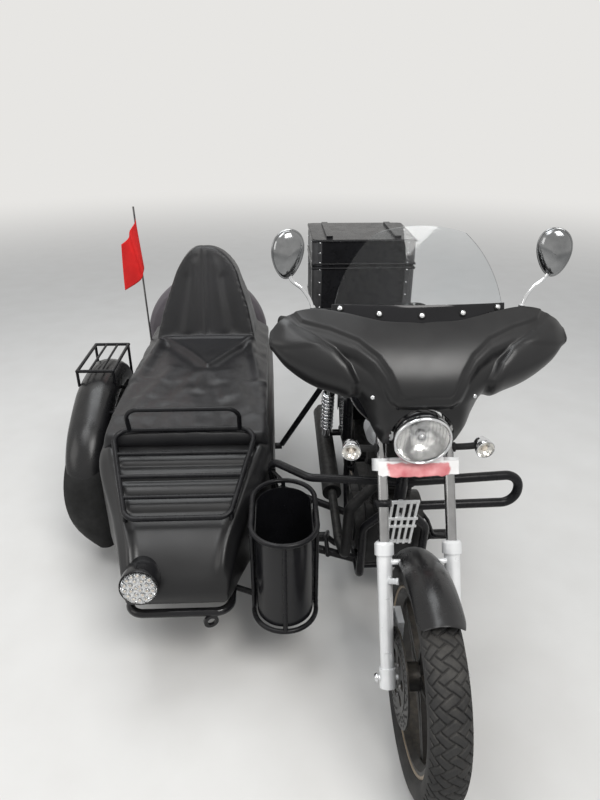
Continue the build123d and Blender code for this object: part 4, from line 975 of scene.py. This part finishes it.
def make_headlamp():
    """A bowl with a thin bright ring, a reflector, its bulb, and glass with upright ribs."""
    at, out = LAMP_AT, LAMP_OUT
    up = np.cross(out, ACROSS)
    shell = turned("headlamp_bowl", [(0, -78), (30, -77), (52, -68), (66, -50), (73, -24), (75, 6), (72, 6)],
                   at, out, "gloss_black", STEER, 64)
    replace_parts(shell, "headlamp")
    ring = [(71, 16), (72, 20), (75, 21.5), (78, 19), (79, 12), (78.5, 2), (75.5, 0), (72, 2), (71, 16)]
    turned("headlamp_ring", ring, at, out, "chrome", STEER, 72)
    ears = [bar("ear", [at + ACROSS * side * 66 - out * 38, at + ACROSS * side * 96 - out * 70], 9,
                "satin_black", STEER) for side in SIDES]
    joined("headlamp_ears", ears)
    bowl = [(r, -38 + 46 * (r / 71) ** 2) for r in np.linspace(13, 71, 12)]
    turned("headlamp_reflector", bowl, at, out, "reflector", STEER, 72)
    turned("headlamp_bulb", [(0, -36), (13, -36), (14, -14), (12, -6), (0, -4)], at, out, "chrome", STEER, 20)
    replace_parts(lens_dome("headlamp_glass", at + out * 12, out, 71, 9), "headlamp_lens")
    ribs = []
    for x in range(-60, 61, 10):
        reach = math.sqrt(68 ** 2 - x * x)
        rib = [at + ACROSS * x + up * v + out * (13.5 + 8 * (1 - (x * x + v * v) / 71 ** 2))
               for v in np.linspace(-reach, reach, 9)]
        ribs.append(bar("rib", rib, 1.3, "lens_clear", STEER, 6))
    joined("headlamp_glass_ribs", ribs)


def lens_dome(name, at, out, radius, height, body=STEER, material="lens_clear", count=40, ripple=0.0):
    """A domed lens, with rings in it where a ripple is given."""
    profile = [(radius * math.cos(t), height * math.sin(t) + ripple * (i % 3 == 1))
               for i, t in enumerate(np.linspace(0, math.pi / 2, 28))]
    return turned(name, profile, at, out, material, body, count)


def make_signals():
    """Small round turn signals on black rubber stalks: chromed bowls with clear rippled glass."""
    for side in SIDES:
        at, out = np.array((side * 186.0, 280, 866)), unit((side * 0.12, -1, -0.05))
        profile = [(0, -50), (11, -48), (20, -36), (25, -16), (27, 2), (26, 4), (24, 1)]
        bowl = turned("signal_bowl", profile, at, out, "chrome", STEER, 32)
        if side < 0:
            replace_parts(bowl, "turn_signals")
        lens_dome("signal_lens", at + out, out, 25, 11, material="lens_ivory", ripple=0.9)
        turned("signal_mirror", [(24, 1), (17, -9), (7, -15), (0, -16)], at, out, "reflector", STEER, 24)
        lens_dome("signal_bulb", at - out * 10, out, 7, 9, material="bulb_warm", count=14)
        root = on_fork(LOWER_YOKE + 62, side * 104)
        stalk = [root, root * 0.4 + at * 0.6 - out * 12, at - out * 24]
        bar("signal_stalk", stalk, 9.5, "rubber", STEER, 14)
        turned("signal_collar", [(0, 0), (14, 0), (14, 10), (0, 10)], root, (side, 0, 0), "rubber", STEER, 20)


NOSE_LAMP = (TUB_X - 105, 268, 405)


def make_nose_lamp():
    """The sidecar's lamp: a clear lens over rings of small cells, in a black bezel with a hood behind it."""
    at, out = np.array(NOSE_LAMP, float), unit((0, -1, 0.14))
    up = np.cross(ACROSS, out)
    hood = [(0, -92), (58, -88), (60, -40), (61, -12), (61, 2), (60, 6), (58, 7), (55, 4)]
    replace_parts(turned("nose_lamp_hood", hood, at, out, "gloss_black", count=56), "nose_lamp")
    turned("nose_lamp_plate", [(55, 5), (54, 2), (30, 1), (0, 1)], at, out, "mirror_silver", count=48)
    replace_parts(lens_dome("nose_lamp_glass", at + out * 6, out, 58, 8, "frame"), "nose_lamp_lens")
    bulb, cells, bulbs = [(4, 0), (3.6, 2), (2, 3.0), (0, 3.4)], [], []
    for radius, count, size in ((43, 14, 7.0), (26, 8, 7.0), (8, 3, 6.4)):
        for t in (np.arange(count) + 0.5) * 2 * math.pi / count:
            spot = at + radius * (math.cos(t) * ACROSS + math.sin(t) * up) + out * 3
            cup = [(size + 1.2, -1), (size + 1.2, 3.0), (size, 3.4), (size * 0.6, 1.0), (0, 0.4)]
            cells.append(turned("cell", cup, spot, out, "chrome", count=14))
            bulbs.append(turned("bulb", bulb, spot, out, "bulb_warm", count=10))
    joined("nose_lamp_cells", cells)
    joined("nose_lamp_bulbs", bulbs)


# Screen, yokes and mirrors

SCREEN_FOOT, SCREEN_RADIUS, SCREEN_LEAN = np.array((0, 382.0, 1196)), 720, math.radians(24)


def on_screen(x, v, off):
    """A point on the curved screen: x across it, v up from its foot, off in front of it."""
    lean = SCREEN_LEAN
    back, up = np.array((0, math.cos(lean), -math.sin(lean))), np.array((0, math.sin(lean), math.cos(lean)))
    deep = SCREEN_RADIUS - math.sqrt((SCREEN_RADIUS + off) ** 2 - x * x)
    return SCREEN_FOOT + ACROSS * x + back * deep + up * v


def make_screen_band():
    """The black foot of the screen, with the five screws that clamp it."""
    def point(across, down):
        u = 2 * across - 1
        low, high = -22 + 26 * u * u, 50 + 9 * u * u
        return on_screen(u * 236, low + (high - low) * down, 1.6)

    band = sheet("screen_foot", 9, 97, point, "gloss_black", STEER)
    thicken(band, 2.6, 0.8)
    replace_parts(band, "screen_band")
    places = [(on_screen(x, 22 + 24 * (x / 214) ** 2, 3.2), (x / 720, -0.91, 0.41))
              for x in (-214, -112, 0, 112, 214)]
    screws("screen_screws", places, 7.5, "chrome", STEER, 16)
    ring = [(11, 0), (11, 1.5), (7, 2)]
    washers = [turned("washer", ring, at - np.array(axis) * 1.5, axis, "rubber", STEER, 18)
               for at, axis in places]
    joined("screen_washers", washers)


def make_mirrors():
    """Teardrop mirrors: swollen chromed shells, glass behind, and bent stems with nuts."""
    count = 40
    t = np.linspace(0, 2 * math.pi, count, endpoint=False)
    for side in SIDES:
        at, turn = np.array((side * 352.0, 452, 1366)), math.radians(side * -16)
        c, s = math.cos(turn), math.sin(turn)
        spin = np.array([(c, s, 0), (-s, c, 0), (0, 0, 1)])
        rows = []
        for k in np.linspace(0, math.pi / 2, 9):
            r = max(math.cos(k), 0.02)
            x = 41 * r * (1 + 0.22 * np.sin(t)) * np.cos(t) + 4 * np.sin(t)
            rows.append(np.stack([-side * x, 3 - 21 * math.sin(k) + 0 * t, 62 * r * np.sin(t)], axis=1))
        edge = rows[0]
        faces = grid_faces(9, count, ring=True)
        shell = piece("mirror_shell", np.array(rows) @ spin + at, faces, "dark_chrome", STEER)
        rim = bar("mirror_rim", np.vstack([edge, edge[:2]]) @ spin + at, 3.2, "dark_chrome", STEER, 8)
        glass = np.array([edge * 0.97, edge * 0.02]) + (0, 5, 0)
        faces = grid_faces(2, count, ring=True)
        piece("mirror_glass", glass @ spin + at, faces, "mirror_silver", STEER)
        joined("mirror_head", [shell, rim])
        stem = bar("mirror_stem", [(side * 285, 441, 1215), (side * 292, 446, 1240), (side * 312, 452, 1272),
                                   (side * 344, 456, 1300), (side * 352, 456, 1330)], 5, "chrome", STEER, 12)
        turned("mirror_nut", [(0, -2), (9, -2), (9, 12), (6, 16), (0, 16)], (side * 285, 441, 1214),
               (side * 0.1, 0.1, 1), "chrome", STEER, 6, smooth=False)
        if side < 0:
            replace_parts(stem, "mirrors")


RAKE = math.radians(31)
# The lower yoke's place up the fork from the axle, and how far its face is in front of the fork's middle
LOWER_YOKE, YOKE_FACE = 565, 36


def on_fork(along, side, off=0):
    """A point by the fork: along it from the axle, to the side, and off in front of it."""
    return np.array((side, math.sin(RAKE) * along - math.cos(RAKE) * off,
                     AXLE_HEIGHT + math.cos(RAKE) * along + math.sin(RAKE) * off))


def make_yoke_wrap():
    """Torn film wrapped round the lower yoke between the legs."""
    across, down = 90, 16
    knots = np.arange(0, across + 5, 5)
    torn = np.random.default_rng(8).uniform(0, 7, len(knots))

    def point(u, v):
        low = (34 + 8 * math.sin(math.pi * u) + np.interp(u * (across - 1), knots, torn)) * v
        ripple = 1.6 * math.sin(14 * u + 5 * v) * (0.3 + 0.7 * v)
        return on_fork(LOWER_YOKE + 26 - low, 224 * u - 112, YOKE_FACE + 3 + ripple)

    thicken(sheet("yoke_film", down, across, point, "film", STEER), 0.6)


def make_fork_trim():
    """The lug on the left slider and the clamp on its tube."""
    turned("fork_lug", [(0, 0), (8, 0), (8, 20), (9.5, 20), (9.5, 27), (0, 27)], on_fork(264, -88, 22),
           (1, -0.2, 0.1), "silver_paint", STEER, 20)
    turned("fork_clamp", [(22.5, -9), (25, -9), (25, 9), (22.5, 9), (22.5, -9)], on_fork(474, -95),
           (0, math.sin(RAKE), math.cos(RAKE)), "satin_black", STEER, 32)


# Degrees back from straight up at which the front mudguard starts and ends
GUARD_START, GUARD_END = -21, 62


def make_front_mudguard():
    """The front mudguard: a curved blade with a rolled lip, rounded corners and its brackets."""
    def point(across, down):
        t, u = GUARD_START + (GUARD_END - GUARD_START) * down, 2 * across - 1
        end = min(t - GUARD_START, GUARD_END - t) / 7
        u *= 1 - 0.16 * max(0.0, 1 - end) ** 2
        r = 346 - 38 * abs(u) ** 2.2 + 2.5 * ridge(end, 0, 0.35)
        return 61 * u, r * math.sin(math.radians(t)), AXLE_HEIGHT + r * math.cos(math.radians(t))

    blade = sheet("mudguard_blade", 72, 23, point, "guard_black", STEER)
    thicken(blade, 3.2, 0.8)
    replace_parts(blade, "front_mudguard")
    arms = [bar("arm", [on_fork(312, side * 52, 8), on_fork(312, side * 84, 4)], 8, "silver_paint", STEER)
            for side in SIDES]
    joined("mudguard_arms", arms)


# The sidecar's mudguard, as points back and up along its crown
GUARD_LINE = [(830, 408), (838, 440), (862, 486), (897, 532), (944, 574), (1000, 608), (1062, 640),
              (1130, 668), (1200, 682), (1290, 688), (1380, 680), (1450, 650), (1502, 600), (1528, 530),
              (1536, 450), (1536, 360)]
GUARD_X = (-1215, -1066)
# The flap's height, distance back, and left and right edge
FLAP = [(452, 858, -1213, -1062), (405, 822, -1218, -1058), (345, 806, -1223, -1050),
        (280, 800, -1221, -1046), (213, 798, -1208, -1044), (150, 798, -1172, -1046),
        (112, 798, -1120, -1056)]


def make_mudguard():
    """A deep mudguard with a flat top, a rolled lip, and a rubber flap in front of the wheel."""
    line = through(range(len(GUARD_LINE)), GUARD_LINE, np.linspace(0, len(GUARD_LINE) - 1, 72))
    along = np.gradient(line, axis=0)
    along /= np.linalg.norm(along, axis=1)[:, None]
    left, right = GUARD_X
    half, middle = (right - left) / 2, (left + right) / 2
    bend = [(half, 52), (half - 4, 34), (half - 14, 20), (half - 30, 9), (half * 0.3, 2)]
    section = [(-half + 5, 150), (-half - 2, 152), (-half - 1, 146), (-half, 100),
               *((-x, d) for x, d in bend), (0, 0), *bend[::-1],
               (half, 76), (half + 1, 84), (half - 5, 82)]
    points = [(middle + x, y + b * d, z - a * d) for (y, z), (a, b) in zip(line, along) for x, d in section]
    shell = piece("mudguard_shell", points, grid_faces(len(line), len(section)), "guard_black")
    thicken(shell, -4, 1.0)
    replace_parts(shell, "sidecar_mudguard")

    def point(across, down):
        z, y, x0, x1 = FLAP[round(down * (len(FLAP) - 1))]
        return x0 + (x1 - x0) * across, y + 26 * abs(2 * across - 1) ** 3, z

    flap = sheet("mudguard_flap", len(FLAP), 9, point, "rubber")
    thicken(flap, 5, 1.5)
    rounder(flap)
    stays = [bar("stay", [(right, y, 590), (TUB_X - 292, y, 592)], 8, "satin_black") for y in (1050, 1290)]
    joined("mudguard_stays", stays)


def make_box_trim():
    """Corner guards, rivets, bands and latches on the top box and its lid."""
    half, front, back, floor, seam, top = 225, 1500, 1880, 862, 1062, 1178
    parts = (("box", floor, seam - 1, (seam - 9, floor + 6), 4, "frame"),
             ("lid", seam + 2, top, (seam + 10, top - 6), 3, "lid"))
    for name, low, high, bands, count, body in parts:
        guards, rivets = [], []
        for sx, (sy, y) in product(SIDES, ((-1, front), (1, back))):
            x = sx * half
            bend = [(x - sx * 40, y + sy * 1.6), (x - sx * 22, y + sy * 1.6), (x - sx * 8, y - sy * 2),
                    (x + sx * 1.4, y - sy * 12), (x + sx * 1.6, y - sy * 40)]
            strip = [[(*corner, z) for corner in bend] for z in (low + 2, high - 2)]
            guards.append(piece("guard", strip, grid_faces(2, len(bend)), "box_edge", body, smooth=False))
            for z in np.linspace(low + 14, high - 14, count):
                rivets.append(((x - sx * 32, y + sy * 2, z), (0, sy, 0)))
                rivets.append(((x + sx * 2, y - sy * 32, z), (sx, 0, 0)))
        side, near, far = half + 1, front - 1, back + 1
        path = [(side, near), (side, far), (-side, far), (-side, near), (side, near), (side, far)]
        for z in bands:
            bar(f"{name}_band", [(x, y, z) for x, y in path], 4.5, "satin_black", body, 8)
        thicken(joined(f"{name}_guards", guards), 1.6)
        screws(f"{name}_rivets", rivets, 3.6, "chrome", body, 10)
    latches = []
    for x in (-120, 120):
        plate = [[(x + side * 22, back + 1.5, z) for side in SIDES] for z in (seam - 42, seam - 2)]
        latches.append(piece("latch", plate, grid_faces(2, 2), "box_edge", smooth=False))
    thicken(joined("box_latches", latches), 4)


make_camera()
make_backdrop()
make_floor()
make_lights()
make_paints()
make_metals()
make_soft_materials()
make_glasses()
make_film()
dress_nodes()
make_fairing()
make_tub()
make_cover()
make_rider_seat()
make_spare_cover()
make_flag()
for name, sizes in WHEELS.items():
    make_tyre(name, *sizes)
make_wheel_trim()
make_headlamp()
make_signals()
make_nose_lamp()
make_screen_band()
make_mirrors()
make_yoke_wrap()
make_fork_trim()
make_front_mudguard()
make_mudguard()
make_box_trim()

SCENE.view_settings.view_transform = "Standard"
